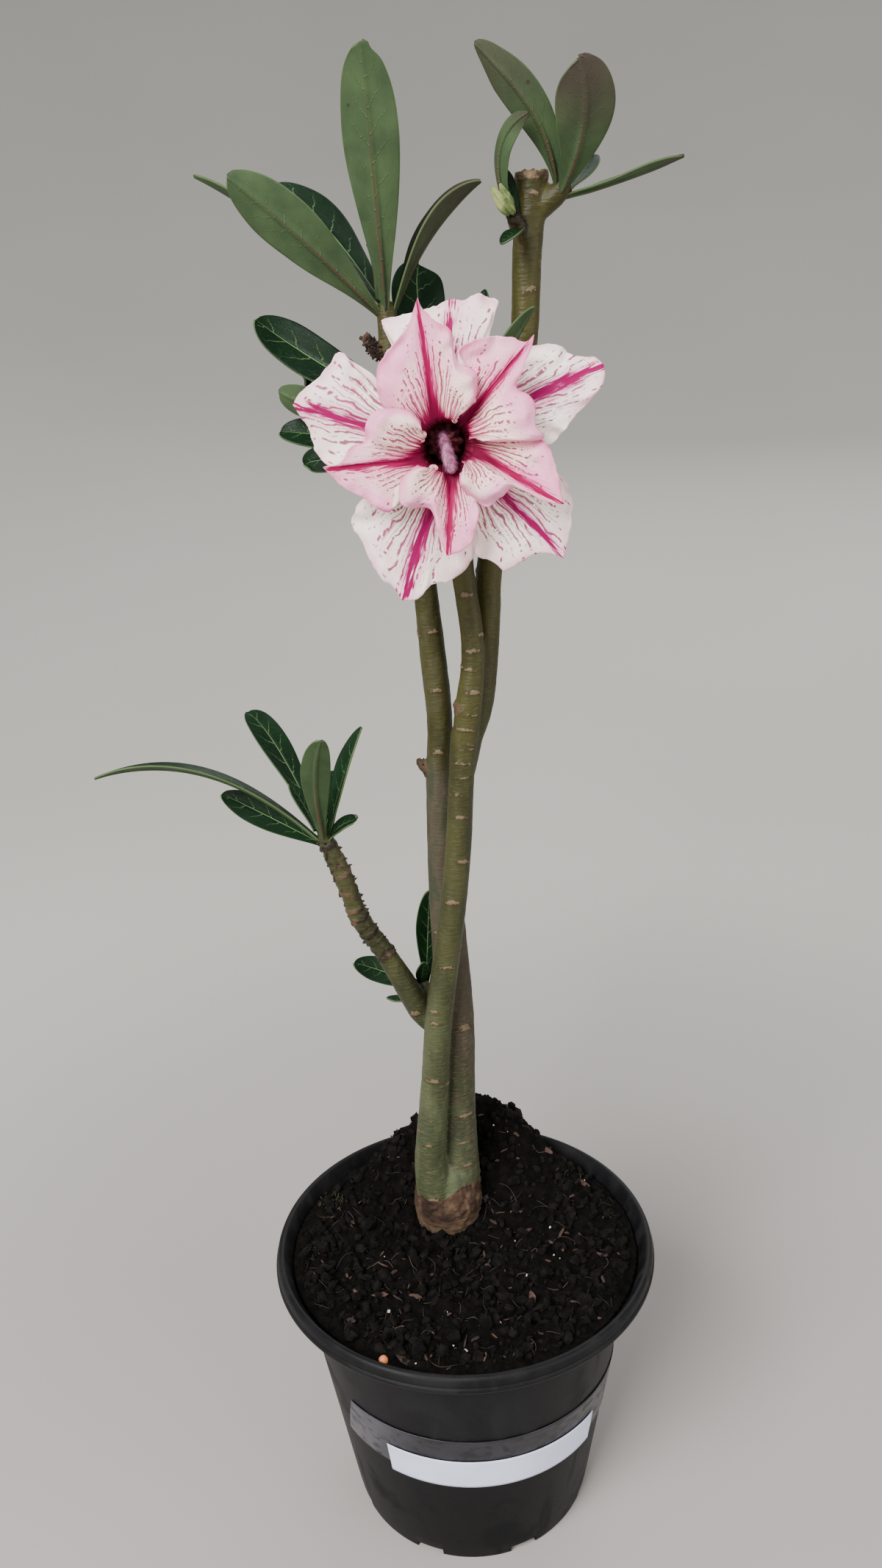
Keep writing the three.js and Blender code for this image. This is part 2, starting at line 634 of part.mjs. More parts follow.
/** The green cup and sepals behind the flower, on the stalk that joins it to the stem. */
function calyxSolid() {
  const bore = FUNNEL.at(-1)[0] + FUNNEL_WALL + GAP;
  const mouth = bore + 1.2;
  const bottom = FUNNEL_END - GAP;
  const cup = flowerTurned(
    [
      [0, bottom - CALYX.wall],
      [bore * 0.7, bottom - CALYX.wall],
      [bore + CALYX.wall, bottom + 1],
      [mouth + CALYX.wall, bottom + CALYX.depth],
      [mouth, bottom + CALYX.depth],
      [bore, bottom + 1.5],
      [bore - 0.4, bottom],
      [0, bottom],
    ],
    15,
  );
  const sepals = Array.from({ length: CALYX.sepals }, (_, i) => {
    const angle = ((i + 0.5) / CALYX.sepals) * 2 * Math.PI;
    const [cos, sin] = [Math.cos(angle), Math.sin(angle)];
    const grid = (offset) =>
      [0, 0.35, 0.7, 1].map((share) =>
        [-1, 0, 1].map((side) => {
          const half = (CALYX.sepalWidth / 2) * (1 - share ** 2) + 0.3;
          const out = mouth + 0.1 + share * 2.6 + offset;
          const front = bottom + CALYX.depth - 1.6 + share * CALYX.sepalLength;
          return flowerPoint(out * cos - side * half * sin, out * sin + side * half * cos, front);
        }),
      );
    return solidOf(bladeGeometry(grid(CALYX.wall), grid(0)));
  });
  const stalk = stemSolid(
    [
      [...flowerPoint(0, 0, bottom - 0.4), CALYX.stalkWidth],
      [FLOWER.x, 1.6, FLOWER.z + 0.4, CALYX.stalkWidth],
      [FLOWER.x, 9, FLOWER.z + 1.6, CALYX.stalkWidth],
    ],
    { sides: 8, step: 3, flat: true },
  );
  return joined([cup, stalk, ...sepals]);
}

/** The three pointed flower buds, on the end of their shoot. */
function budSolid() {
  const buds = BUDS.map(([root, tip, width]) => {
    const at = (share) => vector(root).lerp(vector(tip), share).toArray();
    return stemSolid(
      [
        [...at(0), width * 0.45],
        [...at(0.3), width],
        [...at(0.6), width * 0.8],
        [...at(1), 0.9],
      ],
      { sides: 7, step: 3 },
    );
  });
  return joined(buds);
}

// ---- The part -------------------------------------------------------------------------------

const FINISHES = {
  plastic: { color: 0x2b2c2e, roughness: 0.55 },
  soil: { color: 0x1b1613, roughness: 1 },
  bark: { color: 0x66603c, roughness: 0.6 },
  tape: { color: 0x6a686c, roughness: 0.35 },
  paper: { color: 0xd6d6dc, roughness: 0.8 },
  leaf: { color: 0x2c5230, roughness: 0.4 },
  cream: { color: 0xeedfd8, roughness: 0.7 },
  pink: { color: 0xe6a9c6, roughness: 0.7 },
  plume: { color: 0xb884a6, roughness: 0.9 },
  calyx: { color: 0x7d9a5a, roughness: 0.6 },
};

const part = new THREE.Group();

function addPiece(name, solid, finish) {
  const { vertProperties, triVerts } = solid.getMesh();
  const geometry = new THREE.BufferGeometry();
  geometry.setAttribute('position', new THREE.BufferAttribute(vertProperties, 3));
  geometry.setIndex(new THREE.BufferAttribute(triVerts, 1));
  const material = new THREE.MeshStandardMaterial({ ...FINISHES[finish], metalness: 0 });
  const mesh = new THREE.Mesh(geometry, material);
  mesh.name = name;
  part.add(mesh);
}

const plant = plantSolid(0);
const plantRoom = plantSolid(GAP); // what the stems keep free round them

addPiece('pot', potSolid(), 'plastic');
addPiece('soil', soilSolid().subtract(plantRoom), 'soil');
addPiece('stems', plant, 'bark');
addPiece('tape', wrapSolid(TAPE, GAP), 'tape');
addPiece('label', wrapSolid(LABEL, GAP + TAPE.thick + GAP), 'paper');
addPiece('outer_corolla', outerCorollaSolid(), 'cream');
addPiece('inner_corolla', innerCorollaSolid(), 'pink');
addPiece('anther_plume', plumeSolid(), 'plume');
addPiece('calyx', calyxSolid().subtract(plantRoom), 'calyx');
addPiece('flower_buds', budSolid().subtract(plantRoom), 'calyx');
for (const [name, leaf] of Object.entries(LEAVES)) {
  addPiece(name, leafSolid(leaf).subtract(plantRoom), 'leaf');
}

export default part;
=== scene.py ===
"""The looks of a potted desert rose (Adenium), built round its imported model.

The plant has grafted stems, six tufts of leathery leaves, one double flower and three buds. It
stands in a black nursery pot with peat, a strip of clear tape and a bare paper label. Sizes here
are millimetres, and every mesh is brought to metres as it is finished. +Z is up, the origin is
the centre of the pot's base and the flower faces -Y.
"""

import logging
import math
import random
from collections.abc import Callable, Sequence
from dataclasses import dataclass, field
from enum import Enum
from typing import Union

import bmesh
import bpy
from mathutils import Matrix, Quaternion, Vector, noise
from mathutils.bvhtree import BVHTree
from mathutils.kdtree import KDTree

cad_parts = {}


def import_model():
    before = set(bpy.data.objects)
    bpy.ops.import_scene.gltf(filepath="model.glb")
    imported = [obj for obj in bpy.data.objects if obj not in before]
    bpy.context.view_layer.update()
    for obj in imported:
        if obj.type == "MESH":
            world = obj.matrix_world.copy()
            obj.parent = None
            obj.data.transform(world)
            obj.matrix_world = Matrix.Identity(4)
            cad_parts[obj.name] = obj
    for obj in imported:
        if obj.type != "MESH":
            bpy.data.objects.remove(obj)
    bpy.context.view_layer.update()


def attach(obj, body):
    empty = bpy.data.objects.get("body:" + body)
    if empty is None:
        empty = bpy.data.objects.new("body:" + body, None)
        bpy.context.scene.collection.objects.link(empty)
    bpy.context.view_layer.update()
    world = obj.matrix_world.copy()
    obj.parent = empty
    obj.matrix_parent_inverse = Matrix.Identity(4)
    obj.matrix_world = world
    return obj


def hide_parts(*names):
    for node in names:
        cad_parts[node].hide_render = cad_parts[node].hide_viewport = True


LOG = logging.getLogger("desert_rose")
MM = 0.001
BODY = "root"
UV_NAME = "UVMap"
FORWARD = Matrix.Rotation(math.radians(90), 3, "X")

Point = Sequence[float]
Rgb = tuple[int, int, int]
Colour = tuple[float, float, float, float]
Mesh = bmesh.types.BMesh
Piece = bpy.types.Object
Material = bpy.types.Material


# ---- Small sums ------------------------------------------------------------------------------


def lerp(start: float, end: float, share: float) -> float:
    """The value at a share of the way from start to end."""
    return start + (end - start) * share


def clamp(value: float, low: float = 0.0, high: float = 1.0) -> float:
    """The value, kept between low and high."""
    return max(low, min(high, value))


def smooth(value: float, low: float, high: float) -> float:
    """A smooth step from 0 at low to 1 at high."""
    share = clamp((value - low) / (high - low))
    return share * share * (3 - 2 * share)


def bump(value: float, centre: float, spread: float) -> float:
    """A bell curve of height 1 at the centre."""
    return math.exp(-(((value - centre) / spread) ** 2))


def rough(point: Vector, scale: float, octaves: int = 3) -> float:
    """Smooth noise from about -1 to 1, whose largest features are 1/scale millimetres wide."""
    return noise.fractal(point * scale, 1.0, 2.0, octaves)


def paint(red: int, green: int, blue: int) -> Colour:
    """A colour given as it looks on a screen, brought to linear light.

    Args:
        red, green, blue: The screen's values, from 0 to 255.

    Returns:
        The linear colour with full alpha.
    """
    def linear(value: int) -> float:
        """One of the values in linear light."""
        share = value / 255
        return share / 12.92 if share <= 0.04045 else ((share + 0.055) / 1.055) ** 2.4

    return (linear(red), linear(green), linear(blue), 1.0)


class Route:
    """A smooth curve through points of any number of values, walked by a share of its length."""

    STEPS = 10

    def __init__(self, points: Sequence[Point]) -> None:
        """Lays the curve.

        Args:
            points: The points that it passes through; length is measured on their first three.
        """
        knots = [Vector(point) for point in points]
        first = knots[0] * 2 - knots[1]
        last = knots[-1] * 2 - knots[-2]
        knots = [first, *knots, last]
        self.samples: list[Vector] = []
        for before, start, end, after in zip(knots, knots[1:], knots[2:], knots[3:]):
            for step in range(self.STEPS):
                self.samples.append(self._between(before, start, end, after, step / self.STEPS))
        self.samples.append(knots[-2].copy())
        self.reach = [0.0]
        for start, end in zip(self.samples, self.samples[1:]):
            self.reach.append(self.reach[-1] + (Vector(end[:3]) - Vector(start[:3])).length)

    @staticmethod
    def _between(before: Vector, start: Vector, end: Vector, after: Vector, t: float) -> Vector:
        """A point of the stretch from start to end, bent by the points before and after it."""
        return 0.5 * (
            start * 2
            + (end - before) * t
            + (before * 2 - start * 5 + end * 4 - after) * t * t
            + (start * 3 - before - end * 3 + after) * t * t * t
        )

    @property
    def length(self) -> float:
        """The length of the whole curve."""
        return self.reach[-1]

    def at(self, share: float) -> Vector:
        """The point at a share of the length."""
        goal = clamp(share) * self.length
        low, high = 0, len(self.reach) - 1
        while high - low > 1:
            middle = (low + high) // 2
            if self.reach[middle] <= goal:
                low = middle
            else:
                high = middle
        span = self.reach[high] - self.reach[low]
        part = (goal - self.reach[low]) / span if span > 0 else 0.0
        return self.samples[low].lerp(self.samples[high], part)

    def heading(self, share: float) -> Vector:
        """The way that the curve runs at a share of its length."""
        step = 0.01
        return (Vector(self.at(share + step)[:3]) - Vector(self.at(share - step)[:3])).normalized()


# ---- Meshes ----------------------------------------------------------------------------------


def finish_mesh(
    bm: Mesh,
    name: str,
    finishes: Sequence[Material],
    soft: bool = True,
) -> Piece:
    """Brings a mesh to metres and makes it a named object at the origin.

    Args:
        bm: The mesh in millimetres, which is freed.
        name: The piece's name.
        finishes: Its materials, in the order of its slots.
        soft: Whether its faces are shaded smooth.

    Returns:
        The new object, linked to the scene.
    """
    bmesh.ops.scale(bm, vec=Vector((MM, MM, MM)), verts=bm.verts)
    for face in bm.faces:
        face.smooth = soft
    mesh = bpy.data.meshes.new(name)
    bm.to_mesh(mesh)
    bm.free()
    for finish in finishes:
        mesh.materials.append(finish)
    piece = bpy.data.objects.new(name, mesh)
    bpy.context.scene.collection.objects.link(piece)
    return piece


def pour(part: Mesh, whole: Mesh) -> None:
    """Adds a part's mesh to the whole and frees the part."""
    mesh = bpy.data.meshes.new("part")
    part.to_mesh(mesh)
    part.free()
    whole.from_mesh(mesh)
    bpy.data.meshes.remove(mesh)


def lump(bm: Mesh, draw: random.Random, place: Matrix, middle: Vector, low: float, high: float) -> None:
    """Adds one small rough lump.

    Args:
        bm: The mesh that it is added to.
        draw: The source of its roughness.
        place: Brings a ball of radius 1 to its place, size and turn.
        middle: The point that its corners are pushed away from.
        low, high: How far they are pushed, as shares of their distance.
    """
    for vert in bmesh.ops.create_icosphere(bm, subdivisions=1, radius=1, matrix=place)["verts"]:
        vert.co += (vert.co - middle) * draw.uniform(low, high)


def settle(piece: Piece) -> None:
    """Applies a piece's modifiers, so that its mesh is what is seen."""
    graph = bpy.context.evaluated_depsgraph_get()
    mesh = bpy.data.meshes.new_from_object(piece.evaluated_get(graph), depsgraph=graph)
    old = piece.data
    piece.modifiers.clear()
    piece.data = mesh
    mesh.name = old.name
    bpy.data.meshes.remove(old)


def seat(piece: Piece, slot: str, *nodes: str) -> None:
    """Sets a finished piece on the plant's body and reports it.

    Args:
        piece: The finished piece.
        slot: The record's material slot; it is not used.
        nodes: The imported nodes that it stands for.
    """
    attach(piece, BODY)
    if nodes:
        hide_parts(*nodes)
    LOG.info("%s: %d faces", piece.name, len(piece.data.polygons))


def thicken(piece: Piece, thick: float, under: int = 0, weights: str = "") -> None:
    """Gives a single sheet its thickness, below the side that its faces point to.

    Args:
        piece: The sheet.
        thick: The full thickness in millimetres.
        under: How many slots the lower side's material comes after the upper side's.
        weights: The vertex group that thins it, if any.
    """
    shell = piece.modifiers.new("thickness", "SOLIDIFY")
    shell.thickness = thick * MM
    shell.offset = -1
    shell.material_offset = under
    shell.material_offset_rim = under
    shell.use_quality_normals = True
    if weights:
        shell.vertex_group = weights
        shell.thickness_vertex_group = 0.0
    settle(piece)


def sweep_tube(bm: Mesh, route: Route, sides: int, step: float, round_end: bool) -> None:
    """Draws a closed tube along a route of [x, y, z, width].

    Args:
        bm: The mesh that the tube is added to.
        route: Its centreline, whose fourth value is the tube's width.
        sides: How many sides it has.
        step: The distance between its rings.
        round_end: Whether its far end is a dome and not a flat cut.
    """
    count = max(3, math.ceil(route.length / step))
    turn = Vector((0, 0, 1)).rotation_difference(route.heading(0))
    places = []
    for i in range(count + 1):
        share = i / count
        spot = route.at(share)
        way = route.heading(share)
        turn = (turn @ Vector((0, 0, 1))).rotation_difference(way) @ turn
        places.append((Vector(spot[:3]), turn.copy(), max(spot[3], 0.05) / 2))
    if round_end:
        spot, turn, radius = places[-1]
        for angle in (25, 50, 72):
            lift = math.radians(angle)
            ahead = spot + turn @ Vector((0, 0, radius * 0.8 * math.sin(lift)))
            places.append((ahead, turn, radius * math.cos(lift)))
    matrices = [
        Matrix.Translation(spot) @ turn.to_matrix().to_4x4() @ Matrix.Diagonal((r, r, r, 1))
        for spot, turn, r in places
    ]
    ring = bmesh.ops.create_circle(bm, cap_ends=False, radius=1, segments=sides, matrix=matrices[0])["verts"]
    edges = list({edge for vert in ring for edge in vert.link_edges})
    bmesh.ops.contextual_create(bm, geom=edges)
    for before, after in zip(matrices, matrices[1:]):
        grown = bmesh.ops.extrude_edge_only(bm, edges=edges)["geom"]
        edges = [item for item in grown if isinstance(item, bmesh.types.BMEdge)]
        verts = [item for item in grown if isinstance(item, bmesh.types.BMVert)]
        bmesh.ops.transform(bm, matrix=after @ before.inverted(), verts=verts)
    bmesh.ops.contextual_create(bm, geom=edges)


def near_tree(spots: Sequence[Vector]) -> KDTree:
    """A tree that finds the nearest of some points."""
    tree = KDTree(len(spots))
    for i, spot in enumerate(spots):
        tree.insert(spot, i)
    tree.balance()
    return tree


def closed_out(bm: Mesh) -> None:
    """Merges doubled vertices and turns every face outwards."""
    bmesh.ops.remove_doubles(bm, verts=bm.verts, dist=1e-4)
    bmesh.ops.recalc_face_normals(bm, faces=bm.faces)


def spin_profile(bm: Mesh, profile: Sequence[Point], steps: int) -> None:
    """Turns a profile of [radius, height] once round the Z axis.

    Args:
        bm: The mesh that the turned shape is added to.
        profile: Its points; a profile that starts and ends on the axis closes the shape.
        steps: How many steps there are in the full turn.
    """
    verts = [bm.verts.new((radius, 0, height)) for radius, height in profile]
    edges = [bm.edges.new(pair) for pair in zip(verts, verts[1:])]
    bmesh.ops.spin(
        bm, geom=[*verts, *edges], axis=(0, 0, 1), cent=(0, 0, 0), angle=math.tau, steps=steps, use_merge=True
    )
    closed_out(bm)


def sheet_grid(
    bm: Mesh, columns: int, rows: int, marks: Sequence[str] = ()
) -> list[tuple[bmesh.types.BMVert, float, float]]:
    """Starts a sheet as a flat grid with a UV map.

    Args:
        bm: The empty mesh.
        columns: Cells across.
        rows: Cells along.
        marks: Names of the numbers that its vertices carry.

    Returns:
        Each vertex with its side, from -1 to 1, and its share of the length, from 0 to 1.
    """
    bm.loops.layers.uv.new(UV_NAME)
    for mark in marks:
        bm.verts.layers.float.new(mark)
    bmesh.ops.create_grid(bm, x_segments=columns, y_segments=rows, size=1, calc_uvs=True)
    return [(vert, vert.co.x, (vert.co.y + 1) / 2) for vert in bm.verts]


# ---- Finishes --------------------------------------------------------------------------------

FLOAT = "NodeSocketFloat"
VECTOR = "NodeSocketVector"
Feed = Union["Value", float, Point]


class Value:
    """What a node puts out, with the usual arithmetic on it."""

    def __init__(self, recipe: "Recipe", socket: bpy.types.NodeSocket) -> None:
        """Keeps the output and the recipe that it belongs to."""
        self.recipe = recipe
        self.socket = socket

    def _sum(self, operation: str, *terms: Feed) -> "Value":
        """The result of a Math node."""
        return self.recipe.add("ShaderNodeMath", dict(enumerate(terms)), operation=operation)

    def __add__(self, other: Feed) -> "Value":
        """The sum."""
        return self._sum("ADD", self, other)

    def __sub__(self, other: Feed) -> "Value":
        """The difference."""
        return self._sum("SUBTRACT", self, other)

    def __rsub__(self, other: Feed) -> "Value":
        """The difference from a number."""
        return self._sum("SUBTRACT", other, self)

    def __mul__(self, other: Feed) -> "Value":
        """The product."""
        return self._sum("MULTIPLY", self, other)

    def __truediv__(self, other: Feed) -> "Value":
        """The quotient."""
        return self._sum("DIVIDE", self, other)

    def __pow__(self, other: Feed) -> "Value":
        """The power."""
        return self._sum("POWER", self, other)

    def __abs__(self) -> "Value":
        """The value without its sign."""
        return self._sum("ABSOLUTE", self)

    def floor(self) -> "Value":
        """The whole number below."""
        return self._sum("FLOOR", self)

    def fraction(self) -> "Value":
        """What is left above the whole number."""
        return self._sum("FRACT", self)

    def most(self, other: Feed) -> "Value":
        """The larger of the two."""
        return self._sum("MAXIMUM", self, other)

    def above(self, limit: Feed) -> "Value":
        """1 above the limit and 0 below it."""
        return self._sum("GREATER_THAN", self, limit)

    def clamped(self) -> "Value":
        """The same value, kept from 0 to 1 by its own node."""
        self.socket.node.use_clamp = True
        return self

    def spread(self, low: float, high: float, start: float = 0.0, end: float = 1.0) -> "Value":
        """The value brought smoothly from low..high to start..end, and kept there."""
        inputs = {"Value": self, "From Min": low, "From Max": high, "To Min": start, "To Max": end}
        return self.recipe.add("ShaderNodeMapRange", inputs, "Result", interpolation_type="SMOOTHSTEP")


class Recipe:
    """Adds nodes to one tree and joins them, so that a finish reads as a recipe."""

    def __init__(self, tree: bpy.types.NodeTree) -> None:
        """Keeps the tree that the nodes go into."""
        self.tree = tree

    def feed(self, socket: bpy.types.NodeSocket, value: Feed) -> None:
        """Joins a socket to a value, or gives it a constant."""
        if isinstance(value, Value):
            self.tree.links.new(value.socket, socket)
        else:
            socket.default_value = value

    def add(
        self, kind: str, inputs: dict[str | int, Feed] | None = None, out: str | int = 0, **settings: object
    ) -> Value:
        """Adds a node.

        Args:
            kind: The node's type.
            inputs: What its sockets get, by name or number.
            out: Which output is wanted.
            settings: Its own settings.

        Returns:
            That output.
        """
        node = self.tree.nodes.new(kind)
        for key, value in settings.items():
            setattr(node, key, value)
        for key, value in (inputs or {}).items():
            self.feed(node.inputs[key], value)
        return Value(self, node.outputs[out])

    def blend(self, share: Feed, first: Feed, second: Feed, kind: str = "MIX") -> Value:
        """Two colours mixed by a share."""
        inputs = {0: share, 6: first, 7: second}
        return self.add("ShaderNodeMix", inputs, 2, data_type="RGBA", blend_type=kind)

    def noise(self, vector: Feed, scale: Feed, detail: float, distortion: float = 0.0) -> Value:
        """The value of a Noise texture."""
        inputs = {"Vector": vector, "Scale": scale, "Detail": detail, "Distortion": distortion}
        return self.add("ShaderNodeTexNoise", inputs)

    def cells(self, vector: Feed, scale: float, feature: str = "F1") -> Value:
        """The distance of a Voronoi texture."""
        inputs = {"Vector": vector, "Scale": scale}
        return self.add("ShaderNodeTexVoronoi", inputs, "Distance", feature=feature)

    def stretch(self, vector: Feed, scale: Point) -> Value:
        """Coordinates scaled by a Mapping node."""
        return self.add("ShaderNodeMapping", {"Vector": vector, "Scale": scale})

    def grain(self, vector: Feed, scale: Point, detail: float) -> Value:
        """A Noise texture with its own scale on each axis."""
        return self.noise(self.stretch(vector, scale), 1.0, detail)

    def place(self) -> Value:
        """Object coordinates, in metres."""
        return self.add("ShaderNodeTexCoord", out="Object")

    def chart(self) -> Value:
        """The piece's own UV map."""
        return self.add("ShaderNodeUVMap", uv_map=UV_NAME)

    def attribute(self, name: str) -> Value:
        """A number that the mesh carries at its vertices."""
        return self.add("ShaderNodeAttribute", out="Fac", attribute_name=name)

    def join(self, x: Feed, y: Feed, z: Feed) -> Value:
        """A vector of three numbers."""
        return self.add("ShaderNodeCombineXYZ", {0: x, 1: y, 2: z})

    def split(self, vector: Feed) -> tuple[Value, ...]:
        """The X, Y and Z of a vector."""
        node = self.add("ShaderNodeSeparateXYZ", {0: vector}).socket.node
        return tuple(Value(self, socket) for socket in node.outputs)

    def relief(self, height: Feed, depth: float, strength: float = 1.0, normal: Value | None = None) -> Value:
        """The normal of a Bump node whose full height is a depth in metres."""
        inputs = {"Height": height, "Distance": depth, "Strength": strength}
        if normal is not None:
            inputs["Normal"] = normal
        return self.add("ShaderNodeBump", inputs)

    def group(self, group: bpy.types.NodeTree, **inputs: Feed) -> tuple[Value, ...]:
        """Places a shared effect with its own values, and gives all that it puts out."""
        node = self.add("ShaderNodeGroup", inputs, node_tree=group).socket.node
        return tuple(Value(self, socket) for socket in node.outputs)


class Finish(Recipe):
    """The recipe of one material."""

    def __init__(self, name: str) -> None:
        """Starts the material."""
        self.material = bpy.data.materials.new(name)
        self.material.use_nodes = True
        super().__init__(self.material.node_tree)

    def done(
        self, colour: Feed, roughness: Feed, specular: float, normal: Value | None = None, **more: Feed
    ) -> Material:
        """Feeds the Principled shader.

        Args:
            colour, roughness, specular, normal: What its main sockets get.
            more: What other sockets get, by name with _ for a space.

        Returns:
            The finished material.
        """
        shader = self.tree.nodes["Principled BSDF"]
        given = {"Base Color": colour, "Roughness": roughness, "Specular IOR Level": specular}
        given |= {key.replace("_", " "): value for key, value in more.items()}
        if normal is not None:
            given["Normal"] = normal
        for key, value in given.items():
            self.feed(shader.inputs[key], value)
        return self.material


def shared_effect(
    name: str, inputs: Sequence[str], outputs: Sequence[str], make: Callable[..., Sequence[Value]]
) -> bpy.types.NodeTree:
    """Builds a node group once.

    Args:
        name: The group's name.
        inputs: Its inputs, of which the first is a vector and the others are numbers.
        outputs: Its outputs, all of them numbers.
        make: Draws the nodes, from the group's inputs to its outputs.

    Returns:
        The node group.
    """
    tree = bpy.data.node_groups.new(name, "ShaderNodeTree")
    for i, key in enumerate(inputs):
        tree.interface.new_socket(name=key, in_out="INPUT", socket_type=FLOAT if i else VECTOR)
    for key in outputs:
        tree.interface.new_socket(name=key, in_out="OUTPUT", socket_type=FLOAT)
    recipe = Recipe(tree)
    start = tree.nodes.new("NodeGroupInput")
    end = tree.nodes.new("NodeGroupOutput")
    made = make(recipe, *(Value(recipe, start.outputs[key]) for key in inputs))
    for key, value in zip(outputs, made):
        recipe.feed(end.inputs[key], value)
    return tree


class Effects:
    """The effects that several finishes share."""

    def __init__(self) -> None:
        """Builds each node group."""
        self.mottle = shared_effect("mottle", ("Vector", "Scale", "Contrast"), ("Value",), self._mottle)
        self.dust = shared_effect("dust", ("Vector", "Amount"), ("Mask",), self._dust)
        self.leaf_veins = shared_effect(
            "leaf_veins", ("Chart", "Pairs", "Seed"), ("Midrib", "Laterals", "Net"), self._leaf_veins
        )
        self.petal_marks = shared_effect(
            "petal_marks",
            ("Chart", "Seed", "Reach", "Stripe"),
            ("Stripe", "Halo", "Veins", "Flush"),
            self._petal_marks,
        )

    def patches(self, recipe: Recipe, vector: Feed, scale: float, contrast: float) -> Value:
        """The mottle, placed in a finish."""
        return recipe.group(self.mottle, Vector=vector, Scale=scale, Contrast=contrast)[0]

    @staticmethod
    def _mottle(recipe: Recipe, vector: Value, scale: Value, contrast: Value) -> Sequence[Value]:
        """Soft patches: 0.5 on average, further from it with more contrast."""
        return (((recipe.noise(vector, scale, 6.0) - 0.5) * contrast + 0.5).clamped(),)

    @staticmethod
    def _dust(recipe: Recipe, vector: Value, amount: Value) -> Sequence[Value]:
        """Fine dust that lies in patches and as specks."""
        clouds = recipe.noise(vector, 55.0, 6.0).spread(0.42, 0.72)
        specks = recipe.noise(vector, 900.0, 2.0).spread(0.62, 0.74)
        return ((clouds * 0.65 + specks * 0.35) * amount,)

    @staticmethod
    def _leaf_veins(recipe: Recipe, chart: Value, pairs: Value, seed: Value) -> Sequence[Value]:
        """A midrib, lateral veins that leave it in turn and curve up, and a fine net."""
        across, along, _ = recipe.split(chart)
        side = across * 2.0 - 1.0
        out = abs(side)
        seeded = recipe.join(side * 1.6, along, seed)
        wander = recipe.noise(seeded, 3.4, 3.0) - 0.5
        midrib = (out / ((1.0 - along) * 0.042 + 0.008)).spread(1.25, 0.35)
        level = along - out**1.35 * 0.17 + wander * 0.07
        turns = side.above(0.0) * 0.42 + level * pairs
        near = abs(turns.fraction() - 0.5)
        laterals = (near / ((1.0 - out) * 0.028 + 0.008)).spread(1.5, 0.3) * out.spread(0.9, 0.35, 0.05, 1.0)
        net = recipe.cells(recipe.stretch(seeded, (2.0, 5.0, 1.0)), 4.2, "DISTANCE_TO_EDGE").spread(0.07, 0.0)
        return midrib, laterals, net

    @staticmethod
    def _strands(recipe: Recipe, where: Value, lines: float, start: float, reach: Value) -> Value:
        """Fine veins that fan out along a petal and break into dashes.

        Args:
            recipe: The group's nodes.
            where: The petal's own [side, share of the length, seed].
            lines: How many veins lie between the middle and one side.
            start: The share of the length where they begin.
            reach: The share of the length where the last of them end.

        Returns:
            The mask of the veins.
        """
        side, along, seed = recipe.split(where)
        phase = side * lines + (recipe.grain(where, (2.6, 3.4, 1), 3.0) - 0.5) * 2.6
        index = (phase + 0.5).floor()
        track = recipe.join(index * 3.71, along, seed)
        own = recipe.grain(track, (1, 1.2, 1), 0.0)
        dash = recipe.grain(track, (1, 24, 1), 2.0)
        thick = (dash * 0.26 + 0.02) * along.spread(0.1, 0.9, 1.0, 0.42)
        line = (abs(phase - index) - thick).spread(0.08, -0.02)
        gone = along / (reach * (own + 0.5)) + abs(side) ** 2.0 * 0.3
        kept = (dash - gone.spread(0.15, 1.15, 0.18, 0.74)).spread(-0.03, 0.05)
        return line * kept * along.spread(start, start + 0.12)

    @classmethod
    def _petal_marks(
        cls, recipe: Recipe, chart: Value, seed: Value, reach: Value, stripe: Value
    ) -> Sequence[Value]:
        """The stripe of a petal, the flush beside it and the broken veins that fan out."""
        across, along, _ = recipe.split(chart)
        side = across * 2.0 - 1.0
        where = recipe.join(side, along, seed)
        fray = recipe.grain(where, (46, 5, 1), 4.0) - 0.5
        wave = recipe.grain(where, (0.6, 2.6, 1), 1.0) - 0.5
        middle = fray * 0.24 + abs(wave * 0.08 + side)
        width = (1.0 - along) ** 0.62 * along.spread(0.0, 0.4, 0.5, 1.0) * stripe + 0.01
        share = middle / width
        streaks = recipe.grain(where, (26, 2.0, 1), 3.0).spread(0.36, 0.6, 0.25, 1.0)
        halo = share.spread(3.6, 0.8) * along.spread(1.0, 0.6, 0.45, 1.0) * streaks
        long = cls._strands(recipe, where, 11.0, 0.0, reach)
        short = cls._strands(recipe, where, 23.0, 0.16, reach * 0.86)
        flush = recipe.noise(recipe.stretch(where, (1.6, 1.8, 1)), 1.3, 2.0).spread(0.35, 0.65)
        return share.spread(1.3, 0.5), halo, long.most(short * 0.7), flush


@dataclass(frozen=True)
class Mottled:
    """A matt or satin finish of two colours in soft patches, with a fine grain."""

    name: str
    dark: Colour
    light: Colour
    scale: float
    roughness: float = 0.8
    grain: float = 600.0
    depth: float = 0.0002
    contrast: float = 3.0
    specular: float = 0.4

    def build(self, effects: Effects) -> Material:
        """Makes the material."""
        recipe = Finish(self.name)
        place = recipe.place()
        patches = effects.patches(recipe, place, self.scale, self.contrast)
        colour = recipe.blend(patches, self.dark, self.light)
        relief = recipe.relief(recipe.noise(place, self.grain, 4.0), self.depth)
        return recipe.done(colour, self.roughness, self.specular, relief)


